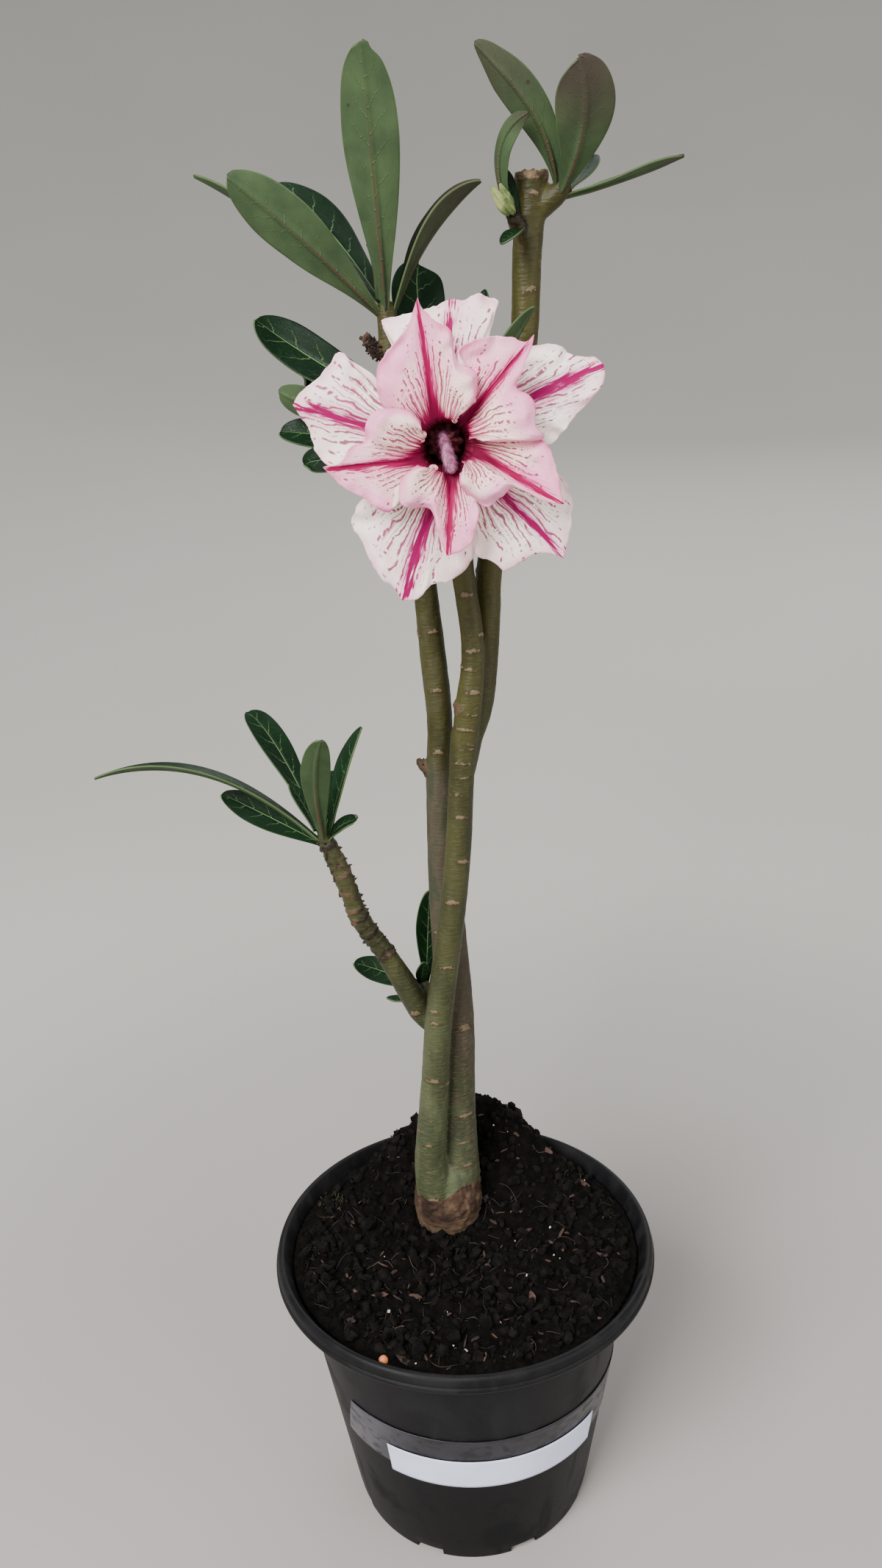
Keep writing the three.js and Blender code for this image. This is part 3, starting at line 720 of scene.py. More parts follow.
@dataclass(frozen=True)
class PotPlastic:
    """Black moulded plastic, dusty and faintly scratched."""

    base: Colour = paint(12, 12, 14)
    dusty: Colour = paint(42, 41, 42)
    # Painted shade: the colour that the pot's lower part is darkened towards.
    shaded: Colour = paint(4, 4, 5)

    def build(self, effects: Effects) -> Material:
        """Makes the material."""
        recipe = Finish("pot_plastic")
        place = recipe.place()
        height = recipe.split(place)[2]
        (dust,) = recipe.group(effects.dust, Vector=place, Amount=0.55)
        dust = dust.most(recipe.grain(place, (90, 90, 9), 5.0).spread(0.5, 0.72, 0.0, 0.4))
        colour = recipe.blend(dust, self.base, self.dusty)
        # Painted shade: the plastic is blended towards the shaded colour below about 70 mm, most at its foot.
        colour = recipe.blend(height.spread(0.07, 0.02, 0.0, 0.75), colour, self.shaded)
        fine = recipe.relief(recipe.noise(place, 2400.0, 3.0), 0.00006)
        scratches = recipe.relief(recipe.grain(place, (60, 60, 1400), 3.0), 0.00005, 0.6, fine)
        return recipe.done(colour, dust.spread(0.0, 0.6, 0.46, 0.8), 0.16, scratches)


@dataclass(frozen=True)
class StemSkin:
    """Succulent green skin that turns grey-brown with age and corky at the root."""

    young: Colour = paint(55, 52, 20)
    green: Colour = paint(52, 53, 28)
    pale: Colour = paint(70, 77, 54)
    bark: Colour = paint(67, 60, 47)
    mould: Colour = paint(40, 46, 31)
    purple: Colour = paint(76, 57, 44)
    cork: Colour = paint(58, 40, 31)
    tan: Colour = paint(88, 70, 52)
    dry: Colour = paint(30, 21, 17)
    scar: Colour = paint(110, 94, 72)
    scar_rim: Colour = paint(44, 33, 20)

    def build(self, effects: Effects) -> Material:
        """Makes the material: the green skin, its bark and rings, its scars, and then the cork."""
        recipe = Finish("stem_skin")
        place = recipe.place()
        height = recipe.split(place)[2]
        tall = recipe.stretch(place, (1.0, 1.0, 0.3))
        patches = effects.patches(recipe, tall, 110.0, 3.2)
        clouds = effects.patches(recipe, tall, 34.0, 3.0)
        colour = recipe.blend((clouds * 0.08 + height).spread(0.28, 0.46), self.green, self.young)
        colour = recipe.blend((clouds * -0.05 + height).spread(0.24, 0.13) * 0.8, colour, self.pale)
        aged = (patches * 0.5 + recipe.attribute("bark")).spread(0.45, 1.15)
        greyed = recipe.blend(patches.spread(0.5, 0.85, 0.0, 0.8), self.bark, self.mould)
        colour = recipe.blend(aged, colour, greyed)
        ragged = recipe.noise(place, 900.0, 4.0) - 0.5
        rings = (ragged * 1.5 + recipe.attribute("rings")).spread(0.34, 0.6)
        crusty = recipe.blend(patches.spread(0.36, 0.7), self.dry, self.purple)
        colour = recipe.blend(rings * 0.85, colour, crusty)
        bright = patches.spread(0.2, 0.85, 0.76, 1.2)
        colour = recipe.blend(1.0, colour, recipe.join(bright, bright, bright), "MULTIPLY")
        specks = recipe.cells(place, 520.0).spread(0.16, 0.06)
        seldom = recipe.noise(place, 120.0, 2.0).spread(0.5, 0.62)
        colour = recipe.blend(specks * (seldom * 0.7), colour, self.tan)
        frost = recipe.noise(recipe.stretch(place, (1, 1, 2.4)), 420.0, 7.0).spread(0.5, 0.72)
        colour = recipe.blend(frost * height.spread(0.27, 0.15, 0.1, 0.36), colour, self.scar)
        scar = ragged * 1.3 + recipe.attribute("scar")
        colour = recipe.blend(scar.spread(0.2, 0.44, 0.0, 0.6), colour, self.scar_rim)
        colour = recipe.blend(scar.spread(0.44, 0.66, 0.0, 0.8), colour, self.scar)
        crumble = recipe.noise(place, 300.0, 6.0)
        corky = ((crumble - 0.5) * 1.6 + recipe.attribute("cork")).spread(0.38, 0.6)
        crust = recipe.blend(crumble.spread(0.4, 0.72), self.cork, self.tan)
        crust = recipe.blend(patches.spread(0.55, 0.25, 0.0, 0.6), crust, self.dry)
        crust = recipe.blend((clouds * 0.005 + height).spread(0.1215, 0.116, 0.0, 0.6), crust, self.tan)
        colour = recipe.blend(corky, colour, crust)
        withered = recipe.attribute("withered")
        wood = recipe.blend(patches.spread(0.25, 0.8), self.dry, self.purple)
        colour = recipe.blend(withered, colour, wood)
        worn = corky.most(withered).most(aged * 0.5)
        fine = recipe.relief(recipe.noise(recipe.stretch(place, (1, 1, 0.35)), 1500.0, 5.0), 0.00012, 0.7)
        creases = recipe.noise(recipe.stretch(place, (1, 1, 4.0)), 260.0, 4.0)
        relief = recipe.relief(creases, 0.0006, 0.6, fine)
        return recipe.done(colour, worn.spread(0.0, 1.0, 0.48, 0.92), 0.22, relief)


@dataclass(frozen=True)
class LeafTop:
    """The glossy dark upper side of a leaf, with its pale veins."""

    deep: Colour = paint(3, 20, 7)
    fresh: Colour = paint(9, 37, 13)
    vein: Colour = paint(104, 134, 84)
    purple: Colour = paint(78, 62, 52)

    def build(self, effects: Effects) -> Material:
        """Makes the material."""
        recipe = Finish("leaf_top")
        seed = recipe.attribute("seed")
        midrib, laterals, net = recipe.group(effects.leaf_veins, Chart=recipe.chart(), Pairs=6.0, Seed=seed)
        place = recipe.place()
        colour = recipe.blend(effects.patches(recipe, place, 90.0, 2.4), self.deep, self.fresh)
        colour = recipe.blend(net * 0.16, colour, self.fresh)
        colour = recipe.blend(laterals * 0.42, colour, self.vein)
        colour = recipe.blend(midrib * 0.85, colour, self.vein)
        colour = recipe.blend(recipe.attribute("blush"), colour, self.purple)
        fine = recipe.relief(recipe.noise(place, 1800.0, 3.0), 0.00004, 0.6)
        relief = recipe.relief(net * -0.25 + laterals * -1.0, 0.00022, 0.8, fine)
        return recipe.done(colour, 0.42, 0.12, relief)


@dataclass(frozen=True)
class LeafUnder:
    """The matt sage underside of a leaf, with its brownish rib."""

    sage: Colour = paint(62, 80, 50)
    moss: Colour = paint(48, 64, 41)
    vein: Colour = paint(88, 108, 66)
    rib: Colour = paint(72, 52, 40)
    purple: Colour = paint(60, 42, 42)
    spot: Colour = paint(48, 38, 30)

    def build(self, effects: Effects) -> Material:
        """Makes the material."""
        recipe = Finish("leaf_under")
        seed = recipe.attribute("seed")
        chart = recipe.chart()
        midrib, laterals, net = recipe.group(effects.leaf_veins, Chart=chart, Pairs=9.0, Seed=seed)
        across, along, _ = recipe.split(chart)
        place = recipe.place()
        colour = recipe.blend(effects.patches(recipe, place, 120.0, 2.6), self.moss, self.sage)
        colour = recipe.blend(net * 0.12, colour, self.moss)
        colour = recipe.blend(laterals * 0.22, colour, self.vein)
        colour = recipe.blend(recipe.attribute("blush"), colour, self.purple)
        colour = recipe.blend(midrib * along.spread(0.95, 0.2, 0.25, 0.95), colour, self.rib)
        specks = recipe.cells(place, 95.0).spread(0.075, 0.045, 0.0, 0.8)
        colour = recipe.blend(specks, colour, self.spot)
        edge = abs(across * 2.0 - 1.0)
        colour = recipe.blend(edge.spread(0.955, 1.0, 0.0, 0.4), colour, self.vein)
        fine = recipe.relief(recipe.noise(place, 2200.0, 3.0), 0.00005, 0.6)
        return recipe.done(colour, 0.6, 0.16, recipe.relief(net * 0.2 + laterals, 0.0002, 0.7, fine))


@dataclass(frozen=True)
class PetalSkin:
    """Thin velvet petals with a stripe, a flush, broken veins and a dark throat."""

    name: str
    body: Colour
    # The pink of the rim, also used as the painted shade where a petal tucks under its neighbour.
    rim: Colour
    flushed: Colour
    stripe: Colour
    halo: Colour
    vein: Colour
    reach: float
    stripe_width: float
    halo_share: float
    pink_share: float
    lip_share: float
    throat: Colour = paint(104, 0, 46)
    deep: Colour = paint(70, 4, 28)
    gullet: Colour = paint(118, 28, 52)

    def build(self, effects: Effects) -> Material:
        """Makes the material: the blush of the petal, its marks, and then the throat."""
        recipe = Finish(self.name)
        chart = recipe.chart()
        across, along, _ = recipe.split(chart)
        seed = recipe.attribute("seed")
        stripe, halo, veins, flush = recipe.group(
            effects.petal_marks, Chart=chart, Seed=seed, Reach=self.reach, Stripe=self.stripe_width
        )
        turned = across * 2.0 - 1.0
        side = abs(turned)
        outer = along.spread(0.4, 1.0).most(side.spread(0.6, 1.0))
        pink = (flush * 0.6 + outer * self.pink_share).clamped()
        colour = recipe.blend(pink, self.body, self.flushed)
        lip = turned.spread(0.3, 0.8) * along.spread(0.9, 0.55)
        colour = recipe.blend(lip * self.lip_share, colour, self.body)
        # Painted shade: the left side near the throat, tucked under the next petal, is darkened towards the
        # rim colour.
        overlap_shade = turned.spread(-0.3, -0.95) * along.spread(0.95, 0.35)
        colour = recipe.blend(overlap_shade * 0.5, colour, self.rim)
        edge = along.spread(0.9, 1.0).most(side.spread(0.93, 1.0))
        patchy = recipe.grain(chart, (7, 3, 1), 2.0).spread(0.35, 0.6)
        colour = recipe.blend(edge * patchy * 0.8, colour, self.rim)
        colour = recipe.blend(halo * self.halo_share, colour, self.halo)
        ink = recipe.blend(along.spread(0.1, 0.7), self.stripe, self.vein)
        colour = recipe.blend(veins * 0.9, colour, ink)
        colour = recipe.blend(stripe, colour, self.stripe)
        streaks = recipe.join(turned * 11.0, along, seed)
        fray = recipe.grain(streaks, (2, 1, 1), 3.0) * -0.5 + along - side.spread(0.0, 0.32, 0.08, -0.07)
        colour = recipe.blend(fray.spread(0.12, -0.08), colour, self.stripe)
        colour = recipe.blend(fray.spread(0.0, -0.16), colour, self.throat)
        colour = recipe.blend(along.spread(0.05, 0.0), colour, self.deep)
        ribs = recipe.grain(streaks, (1, 0, 1), 1.0).spread(0.42, 0.56)
        colour = recipe.blend(recipe.attribute("gullet"), colour, recipe.blend(ribs, self.deep, self.gullet))
        fine = recipe.relief(recipe.noise(recipe.place(), 420.0, 3.0), 0.0003, 0.5)
        folds = recipe.relief(recipe.grain(streaks, (3.4, 3, 1), 3.0), 0.0004, 0.6, fine)
        return recipe.done(
            colour, 0.6, 0.12, folds,
            Subsurface_Weight=0.12, Subsurface_Radius=(0.0010, 0.0006, 0.0005), Subsurface_Scale=1.0,
        )


@dataclass(frozen=True)
class ClearTape:
    """Clear tape gone grey, with trapped air and dirt."""

    grey: Colour = paint(27, 26, 31)
    pale: Colour = paint(66, 64, 71)
    dirt: Colour = paint(18, 17, 19)

    def build(self, effects: Effects) -> Material:
        """Makes the material."""
        recipe = Finish("clear_tape")
        place = recipe.place()
        across = recipe.split(recipe.chart())[0]
        patches = effects.patches(recipe, place, 70.0, 3.0)
        ends = across.spread(0.17, 0.05).most(across.spread(0.72, 0.8, 0.0, 0.5))
        colour = recipe.blend((patches * 0.25 + ends * 0.85).clamped(), self.grey, self.pale)
        blots = recipe.noise(recipe.stretch(place, (1, 1, 1.8)), 190.0, 5.0, 0.6)
        colour = recipe.blend(blots.spread(0.56, 0.66, 0.0, 0.7), colour, self.dirt)
        gloss = blots.spread(0.4, 0.65, 0.26, 0.5)
        relief = recipe.relief(blots, 0.0003, 0.35)
        return recipe.done(colour, gloss, 0.35, relief, Coat_Weight=0.12, Coat_Roughness=0.25)


class Palette:
    """Every finish of the object, made once."""

    def __init__(self) -> None:
        """Builds the shared effects and then the materials."""
        effects = Effects()

        def mottled(name: str, dark: Rgb, light: Rgb, *values: float) -> Material:
            """One of the plain mottled finishes."""
            return Mottled(name, paint(*dark), paint(*light), *values).build(effects)

        self.pot = PotPlastic().build(effects)
        self.tape = ClearTape().build(effects)
        self.stem = StemSkin().build(effects)
        self.leaf_top = LeafTop().build(effects)
        self.leaf_under = LeafUnder().build(effects)
        self.label = mottled("label_paper", (200, 203, 226), (222, 226, 246), 60, 0.7, 1600, 0.00004, 1.6)
        self.peat = mottled("peat", (3, 3, 2), (16, 13, 11), 260, 0.95, 900, 0.0012, 3.4, 0.08)
        self.crumb = mottled("peat_crumb", (3, 3, 3), (22, 18, 15), 300, 0.9, 1400, 0.0008, 3.4, 0.12)
        self.chip = mottled("bark_chip", (20, 14, 11), (80, 56, 44), 110, 0.85, 700, 0.0004, 3.2)
        self.fibre = mottled("root_fibre", (14, 11, 9), (70, 58, 46), 50, 0.85, 900, 0.0002, 3.2)
        self.grit = mottled("white_grit", (170, 166, 158), (228, 224, 216), 400, 0.8, 1200, 0.0004, 3.0)
        self.pellet = mottled("plant_food", (196, 112, 62), (228, 150, 98), 300, 0.45, 1500, 0.0002, 2.6)
        self.moss = mottled("moss", (24, 28, 12), (62, 66, 30), 400, 0.9, 1500, 0.0004, 3.0)
        self.anther = mottled("anther_skin", (96, 30, 50), (176, 104, 112), 420, 0.6, 1400, 0.0002, 3.4)
        self.curl = mottled("throat_curl", (214, 130, 150), (240, 206, 196), 300, 0.6, 1400, 0.0001, 3.0)
        self.cut_wood = mottled("cut_wood", (70, 54, 38), (150, 128, 96), 330, 0.9, 1600, 0.0008, 4.0)
        self.nub = mottled("dry_nub", (18, 12, 9), (62, 45, 35), 420, 0.9, 1500, 0.0006, 3.6)
        self.bud = mottled("bud_skin", (72, 92, 44), (140, 150, 92), 240, 0.5, 1400, 0.0002, 3.2)
        self.calyx = mottled("calyx_skin", (74, 84, 38), (120, 104, 62), 160, 0.55, 1200, 0.0002, 3.2)
        self.plume = mottled("plume_hair", (112, 50, 82), (180, 120, 150), 500, 0.8, 2500, 0.0001, 3.0)
        self.outer_petal = PetalSkin(
            name="outer_petal",
            body=paint(255, 247, 236), rim=paint(230, 168, 184), flushed=paint(248, 212, 216),
            stripe=paint(142, 0, 80), halo=paint(226, 112, 176), vein=paint(140, 8, 78), reach=1.2,
            stripe_width=0.1, halo_share=0.95, pink_share=0.3, lip_share=0.3,
        ).build(effects)
        self.inner_petal = PetalSkin(
            name="inner_petal",
            body=paint(250, 222, 206), rim=paint(214, 96, 148), flushed=paint(238, 156, 190),
            stripe=paint(140, 0, 66), halo=paint(230, 92, 164), vein=paint(136, 0, 70), reach=1.0,
            stripe_width=0.135, halo_share=0.95, pink_share=0.8, lip_share=0.75,
        ).build(effects)
        self.petal_back = PetalSkin(
            name="petal_back",
            body=paint(246, 230, 216), rim=paint(232, 176, 190), flushed=paint(242, 206, 208),
            stripe=paint(196, 84, 130), halo=paint(230, 150, 184), vein=paint(206, 138, 160), reach=0.9,
            stripe_width=0.08, halo_share=0.6, pink_share=0.5, lip_share=0.2, throat=paint(214, 138, 154),
            deep=paint(192, 116, 128), gullet=paint(228, 174, 172),
        ).build(effects)


# ---- Pot, tape and label ---------------------------------------------------------------------


@dataclass
class Pot:
    """The round nursery pot: a tapered body with drain slots, a collar and a rolled rim."""

    base_radius: float = 49.2
    shoulder_radius: float = 66.6
    shoulder_height: float = 106.0
    neck_radius: float = 72.4
    bead_radius: float = 76.6
    bead_height: float = 110.6
    rim_radius: float = 74.4
    height: float = 117.0
    wall: float = 1.5
    floor: float = 2.6
    steps: int = 160
    groove: float = 0.35
    slots: int = 8
    slot_size: tuple[float, float, float] = (9.0, 11.0, 6.8)
    slot_turn: float = 22.5

    def body_radius(self, height: float) -> float:
        """The outer radius of the tapered body at a height."""
        return lerp(self.base_radius, self.shoulder_radius, height / self.shoulder_height)

    def profile(self) -> list[Point]:
        """The pot's section as [radius, height], from the axis under the floor to the axis on it."""
        base, neck, bead, rim = self.base_radius, self.neck_radius, self.bead_radius, self.rim_radius
        lip, shoulder, collar = self.height, self.shoulder_height, self.bead_height
        ridge = 52.0
        return [
            (0, 1.4),
            (base * 0.45, 1.4),
            (base - 9, 1.2),
            (base - 6, 0),
            (base - 1, 0),
            (base - 0.2, 0.4),
            (base, 1.2),
            (self.body_radius(8), 8),
            (self.body_radius(ridge) - 0.05, ridge),
            (self.body_radius(shoulder - 6), shoulder - 6),
            (self.shoulder_radius - 0.05, shoulder - 0.4),
            (self.shoulder_radius + 1, shoulder + 0.3),
            (neck - 1.8, shoulder + 0.9),
            (neck - 0.6, shoulder + 1.4),
            (neck - 0.1, shoulder + 2.4),
            (neck, collar - 0.6),
            (bead - 1.6, collar - 0.2),
            (bead - 0.4, collar + 0.2),
            (bead, collar + 0.9),
            (bead, collar + 1.8),
            (bead - 0.3 - self.groove, collar + 2.4),
            (bead - 0.5, collar + 3.0),
            (rim + 1.5, lip - 1.6),
            (rim + 1.1, lip - 0.6),
            (rim + 0.4, lip - 0.05),
            (rim - 0.5, lip),
            (rim - 1.4, lip - 0.6),
            (neck - 2.0, collar + 1),
            (neck - 2.4, collar - 0.6),
            (neck - 2.9, shoulder + 1.5),
            (self.shoulder_radius - self.wall, shoulder - 0.4),
            (self.body_radius(self.floor + 2) - self.wall, self.floor + 2),
            (self.body_radius(self.floor) - self.wall - 1.6, self.floor),
            (0, self.floor),
        ]

    def build(self, palette: Palette) -> None:
        """Makes the pot."""
        bm = bmesh.new()
        spin_profile(bm, self.profile(), self.steps)
        pot = finish_mesh(bm, "nursery_pot", [palette.pot])
        cutter = self._slots(palette)
        cut = pot.modifiers.new("drain", "BOOLEAN")
        cut.object = cutter
        cut.solver = "EXACT"
        settle(pot)
        bpy.data.objects.remove(cutter)
        edges = pot.modifiers.new("soft_edges", "BEVEL")
        edges.width = 0.25 * MM
        edges.segments = 2
        edges.limit_method = "ANGLE"
        edges.angle_limit = math.radians(50)
        settle(pot)
        for face in pot.data.polygons:
            face.use_smooth = True
        seat(pot, "pot_plastic", "pot")

    def _slots(self, palette: Palette) -> Piece:
        """The blocks that cut the drain slots where the body meets the floor."""
        bm = bmesh.new()
        deep, wide, high = self.slot_size
        for i in range(self.slots):
            angle = math.radians(self.slot_turn + i * 360 / self.slots)
            move = Matrix.Translation((self.base_radius - deep / 2 + 2, 0, 0))
            place = Matrix.Rotation(angle, 4, "Z") @ move @ Matrix.Diagonal((deep, wide, high, 1))
            bmesh.ops.create_cube(bm, size=1, matrix=place)
        return finish_mesh(bm, "slot_cutter", [palette.pot], soft=False)


@dataclass
class Wrap:
    """A strip that lies round the pot's body, such as the tape and the label."""

    name: str
    node: str
    slot: str
    start: float
    end: float
    low: float
    high: float
    rise: float
    stand: float
    thick: float
    slant: float
    wrinkle: float
    columns: int = 150
    rows: int = 16

    def build(self, pot: Pot, finish: Material) -> None:
        """Makes the strip.

        Args:
            pot: The pot that it lies round.
            finish: Its material.
        """
        bm = bmesh.new()
        for vert, side, share in sheet_grid(bm, self.columns, self.rows):
            along = (side + 1) / 2
            lean = self.slant * (share - 0.5) * (1 - along)
            angle = math.radians(lerp(self.start, self.end, along) + lean)
            level = lerp(self.low, self.high, share) + self.rise * along**2
            spot = Vector((angle * 60, level, 0))
            lift = self.wrinkle * (0.5 + 0.5 * rough(spot, 0.09)) * (1 - 0.7 * abs(2 * share - 1))
            radius = pot.body_radius(level) + self.stand + lift
            vert.co = (radius * math.cos(angle), radius * math.sin(angle), level)
        strip = finish_mesh(bm, self.name, [finish])
        thicken(strip, self.thick)
        seat(strip, self.slot, self.node)


# ---- Soil ------------------------------------------------------------------------------------


@dataclass
class Soil:
    """Peat with its crumbs, bark chips, fibres, grit, a pellet of plant food and a little moss."""

    level: float = 109.0
    rim_rise: float = 2.0
    radius: float = 69.6
    mound: tuple[float, float] = (4.0, 50.0)
    spread: tuple[float, float] = (28.0, 15.0)
    mound_height: float = 36.0
    fade: float = 14.0
    lump_height: float = 1.5
    lump_length: float = 8.0
    cover: float = 0.8
    cells: int = 230
    crumbs: int = 2200
    chips: int = 170
    fibres: int = 150
    seed: int = 11
    stem_room: tuple[float, float, float] = (-6.0, 19.0, 15.0)
    near_grit: tuple[Point, ...] = (
        (-9.6, -60), (-1.5, -55.7), (-11.5, -30.3), (24, -20), (-30, -36), (36, 8), (12, -44), (-44, 6),
    )
    far_grit: int = 16
    dry_stalks: tuple[Point, ...] = ((-24, 56, 9), (31, 58, 8), (17, 62, 5))
    pellet_place: tuple[float, float] = (-31.2, -61.6)
    pellet_radius: float = 1.7
    moss_place: tuple[float, float] = (-56.0, 28.0)
    moss_spread: float = 2.6
    moss_blades: int = 46
    tree: BVHTree | None = field(default=None, repr=False)

    def height(self, x: float, y: float) -> float:
        """The soil's level at a place, with its steep mound behind the stems."""
        away = math.hypot(x, y)
        east = (x - self.mound[0]) / self.spread[0]
        north = (y - self.mound[1]) / self.spread[1]
        inside = smooth(self.radius - away, 0, self.fade)
        span = self.lump_length
        lumps = math.sin(x / span + 1.3) * math.sin(y / span - 0.4)
        lumps += 0.6 * math.sin((x + y) / (0.47 * span)) * math.sin((x - y) / (0.55 * span) + 2)
        rim = self.rim_rise * (away / self.radius) ** 4
        heap = self.mound_height * math.exp(-0.5 * (east**2 + north**2))
        return self.level + rim + inside * (heap + self.lump_height * lumps)

    def surface(self, x: float, y: float) -> Vector:
        """A point of the crumbly surface."""
        spot = Vector((x, y, 0))
        clods = 1 - min(noise.voronoi(spot * 0.24)[0][0] * 1.3, 1)
        grains = 1 - min(noise.voronoi(spot * 0.75)[0][0] * 1.3, 1)
        fine = 0.5 + 0.5 * rough(spot, 0.9, 3)
        edge = smooth(self.radius - math.hypot(x, y), -0.5, 5)
        lift = self.cover + (0.25 + 0.75 * edge) * (2.1 * clods + 1.2 * grains + 0.7 * fine)
        return Vector((x, y, self.height(x, y) + lift))

    def build(self, palette: Palette) -> None:
        """Makes the surface and all that lies on it."""
        bm = bmesh.new()
        bmesh.ops.create_grid(bm, x_segments=self.cells, y_segments=self.cells, size=self.radius + 0.3)
        outside = [vert for vert in bm.verts if math.hypot(vert.co.x, vert.co.y) > self.radius + 0.3]
        bmesh.ops.delete(bm, geom=outside, context="VERTS")
        for vert in bm.verts:
            vert.co = self.surface(vert.co.x, vert.co.y)
        self.tree = BVHTree.FromBMesh(bm)
        crust = finish_mesh(bm, "peat_surface", [palette.peat])
        thicken(crust, 2.0)
        seat(crust, "soil")
        draw = random.Random(self.seed)
        self._crumbs(palette, draw)
        self._chips(palette, draw)
        self._fibres(palette, draw)
        self._grit(palette, draw)
        self._moss(palette, draw)

    def _spot(self, draw: random.Random) -> Vector:
        """A random place on the surface, clear of the stems."""
        while True:
            away = (self.radius - 3) * math.sqrt(draw.random())
            angle = draw.uniform(0, math.tau)
            x, y = away * math.cos(angle), away * math.sin(angle)
            stem_x, stem_y, room = self.stem_room
            if math.hypot(x - stem_x, y - stem_y) > room:
                return self._top(x, y)

    def _top(self, x: float, y: float) -> Vector:
        """The highest point of the surface at a place."""
        hit = self.tree.ray_cast(Vector((x, y, 300)), Vector((0, 0, -1)))[0]
        return hit if hit is not None else self.surface(x, y)

    @staticmethod
    def _lump(bm: Mesh, draw: random.Random, spot: Vector, size: Point) -> None:
        """Adds one small rough lump."""
        axis = (draw.gauss(0, 1), draw.gauss(0, 1), draw.gauss(0, 1))
        turn = Quaternion(axis, draw.uniform(0, math.tau)).to_matrix().to_4x4()
        lump(bm, draw, Matrix.Translation(spot) @ turn @ Matrix.Diagonal((*size, 1)), spot, -0.35, 0.3)

    def _crumbs(self, palette: Palette, draw: random.Random) -> None:
        """Crumbs of peat, most of them under 3 mm."""
        bm = bmesh.new()
        for _ in range(self.crumbs):
            spot = self._spot(draw)
            size = 0.35 + 2.4 * draw.random() ** 3.4
            shape = [size * draw.uniform(0.6, 1.3) for _ in range(3)]
            self._lump(bm, draw, spot + Vector((0, 0, size * 0.3)), shape)
        seat(finish_mesh(bm, "peat_crumbs", [palette.crumb], soft=False), "soil")

    def _chips(self, palette: Palette, draw: random.Random) -> None:
        """Flat splinters of bark that lie at all angles."""
        bm = bmesh.new()
        for _ in range(self.chips):
            spot = self._spot(draw)
            length = 0.8 + 3.4 * draw.random() ** 2
            shape = (length, length * draw.uniform(0.16, 0.42), draw.uniform(0.18, 0.45))
            turn = Matrix.Rotation(draw.uniform(0, math.tau), 4, "Z")
            tilt = Matrix.Rotation(draw.uniform(-0.6, 0.6), 4, "Y")
            roll = Matrix.Rotation(draw.uniform(-0.8, 0.8), 4, "X")
            lifted = Matrix.Translation(spot + Vector((0, 0, 0.4)))
            lump(bm, draw, lifted @ turn @ tilt @ roll @ Matrix.Diagonal((*shape, 1)), spot, -0.25, 0.2)
        seat(finish_mesh(bm, "bark_chips", [palette.chip], soft=False), "soil")

    def _fibres(self, palette: Palette, draw: random.Random) -> None:
        """Thin roots and fibres that lie curved over the peat."""
        bm = bmesh.new()
        for _ in range(self.fibres):
            spot = self._spot(draw)
            length = draw.uniform(3, 12)
            heading = draw.uniform(0, math.tau)
            bend = draw.uniform(-0.5, 0.5)
            width = draw.uniform(0.14, 0.34)
            points = []
            for i in range(5):
                share = i / 4
                angle = heading + bend * share * 2
                x = spot.x + length * share * math.cos(angle)
                y = spot.y + length * share * math.sin(angle)
                if math.hypot(x, y) > self.radius - 2:
                    break
                ground = self._top(x, y).z
                points.append((x, y, ground + 0.25 + draw.uniform(0, 0.7) * math.sin(math.pi * share), width))
            if len(points) > 2:
                points[-1] = (*points[-1][:3], width * 0.3)
                sweep_tube(bm, Route(points), 4, length / 7, False)
        for x, y, reach in self.dry_stalks:
            foot = self._top(x, y)
            stalk = [
                (x, y, foot.z - 1, 1.0),
                (x + reach * 0.2, y, foot.z + reach * 0.4, 0.9),
                (x + reach * 0.5, y - 1, foot.z + reach * 0.6, 0.5),
            ]
            sweep_tube(bm, Route(stalk), 5, 1.2, True)
        closed_out(bm)
        seat(finish_mesh(bm, "root_fibres", [palette.fibre]), "soil")

    def _grit(self, palette: Palette, draw: random.Random) -> None:
        """White grit, most of it near the front, and one round pellet of plant food."""
        bm = bmesh.new()
        for x, y in self.near_grit:
            size = draw.uniform(0.5, 1.0)
            self._lump(bm, draw, self._top(x, y) + Vector((0, 0, 0.3)), (size, size * 0.8, size * 0.7))
        for _ in range(self.far_grit):
            size = draw.uniform(0.2, 0.4)
            self._lump(bm, draw, self._spot(draw) + Vector((0, 0, 0.2)), (size, size, size))
        seat(finish_mesh(bm, "white_grit", [palette.grit], soft=False), "soil")
        bm = bmesh.new()
        spot = self._top(*self.pellet_place) + Vector((0, 0, 0.9))
        place = Matrix.Translation(spot)
        bmesh.ops.create_icosphere(bm, subdivisions=3, radius=self.pellet_radius, matrix=place)
        for vert in bm.verts:
            vert.co += (vert.co - spot) * 0.08 * rough(vert.co, 0.6, 2)
        seat(finish_mesh(bm, "plant_food_pellet", [palette.pellet]), "soil")

    def _moss(self, palette: Palette, draw: random.Random) -> None:
        """A small tuft of moss at the left."""
        bm = bmesh.new()
        for _ in range(self.moss_blades):
            x = self.moss_place[0] + draw.gauss(0, self.moss_spread)
            y = self.moss_place[1] + draw.gauss(0, self.moss_spread)
            foot = self._top(x, y)
            lean = Vector((draw.uniform(-1, 1), draw.uniform(-1, 1), 1.6)).normalized()
            tip = foot + lean * draw.uniform(1.2, 2.6)
            sweep_tube(bm, Route([(*foot, 0.4), (*foot.lerp(tip, 0.5), 0.5), (*tip, 0.15)]), 4, 0.9, False)
        closed_out(bm)
        seat(finish_mesh(bm, "moss_tuft", [palette.moss]), "soil")


# ---- Stems -----------------------------------------------------------------------------------


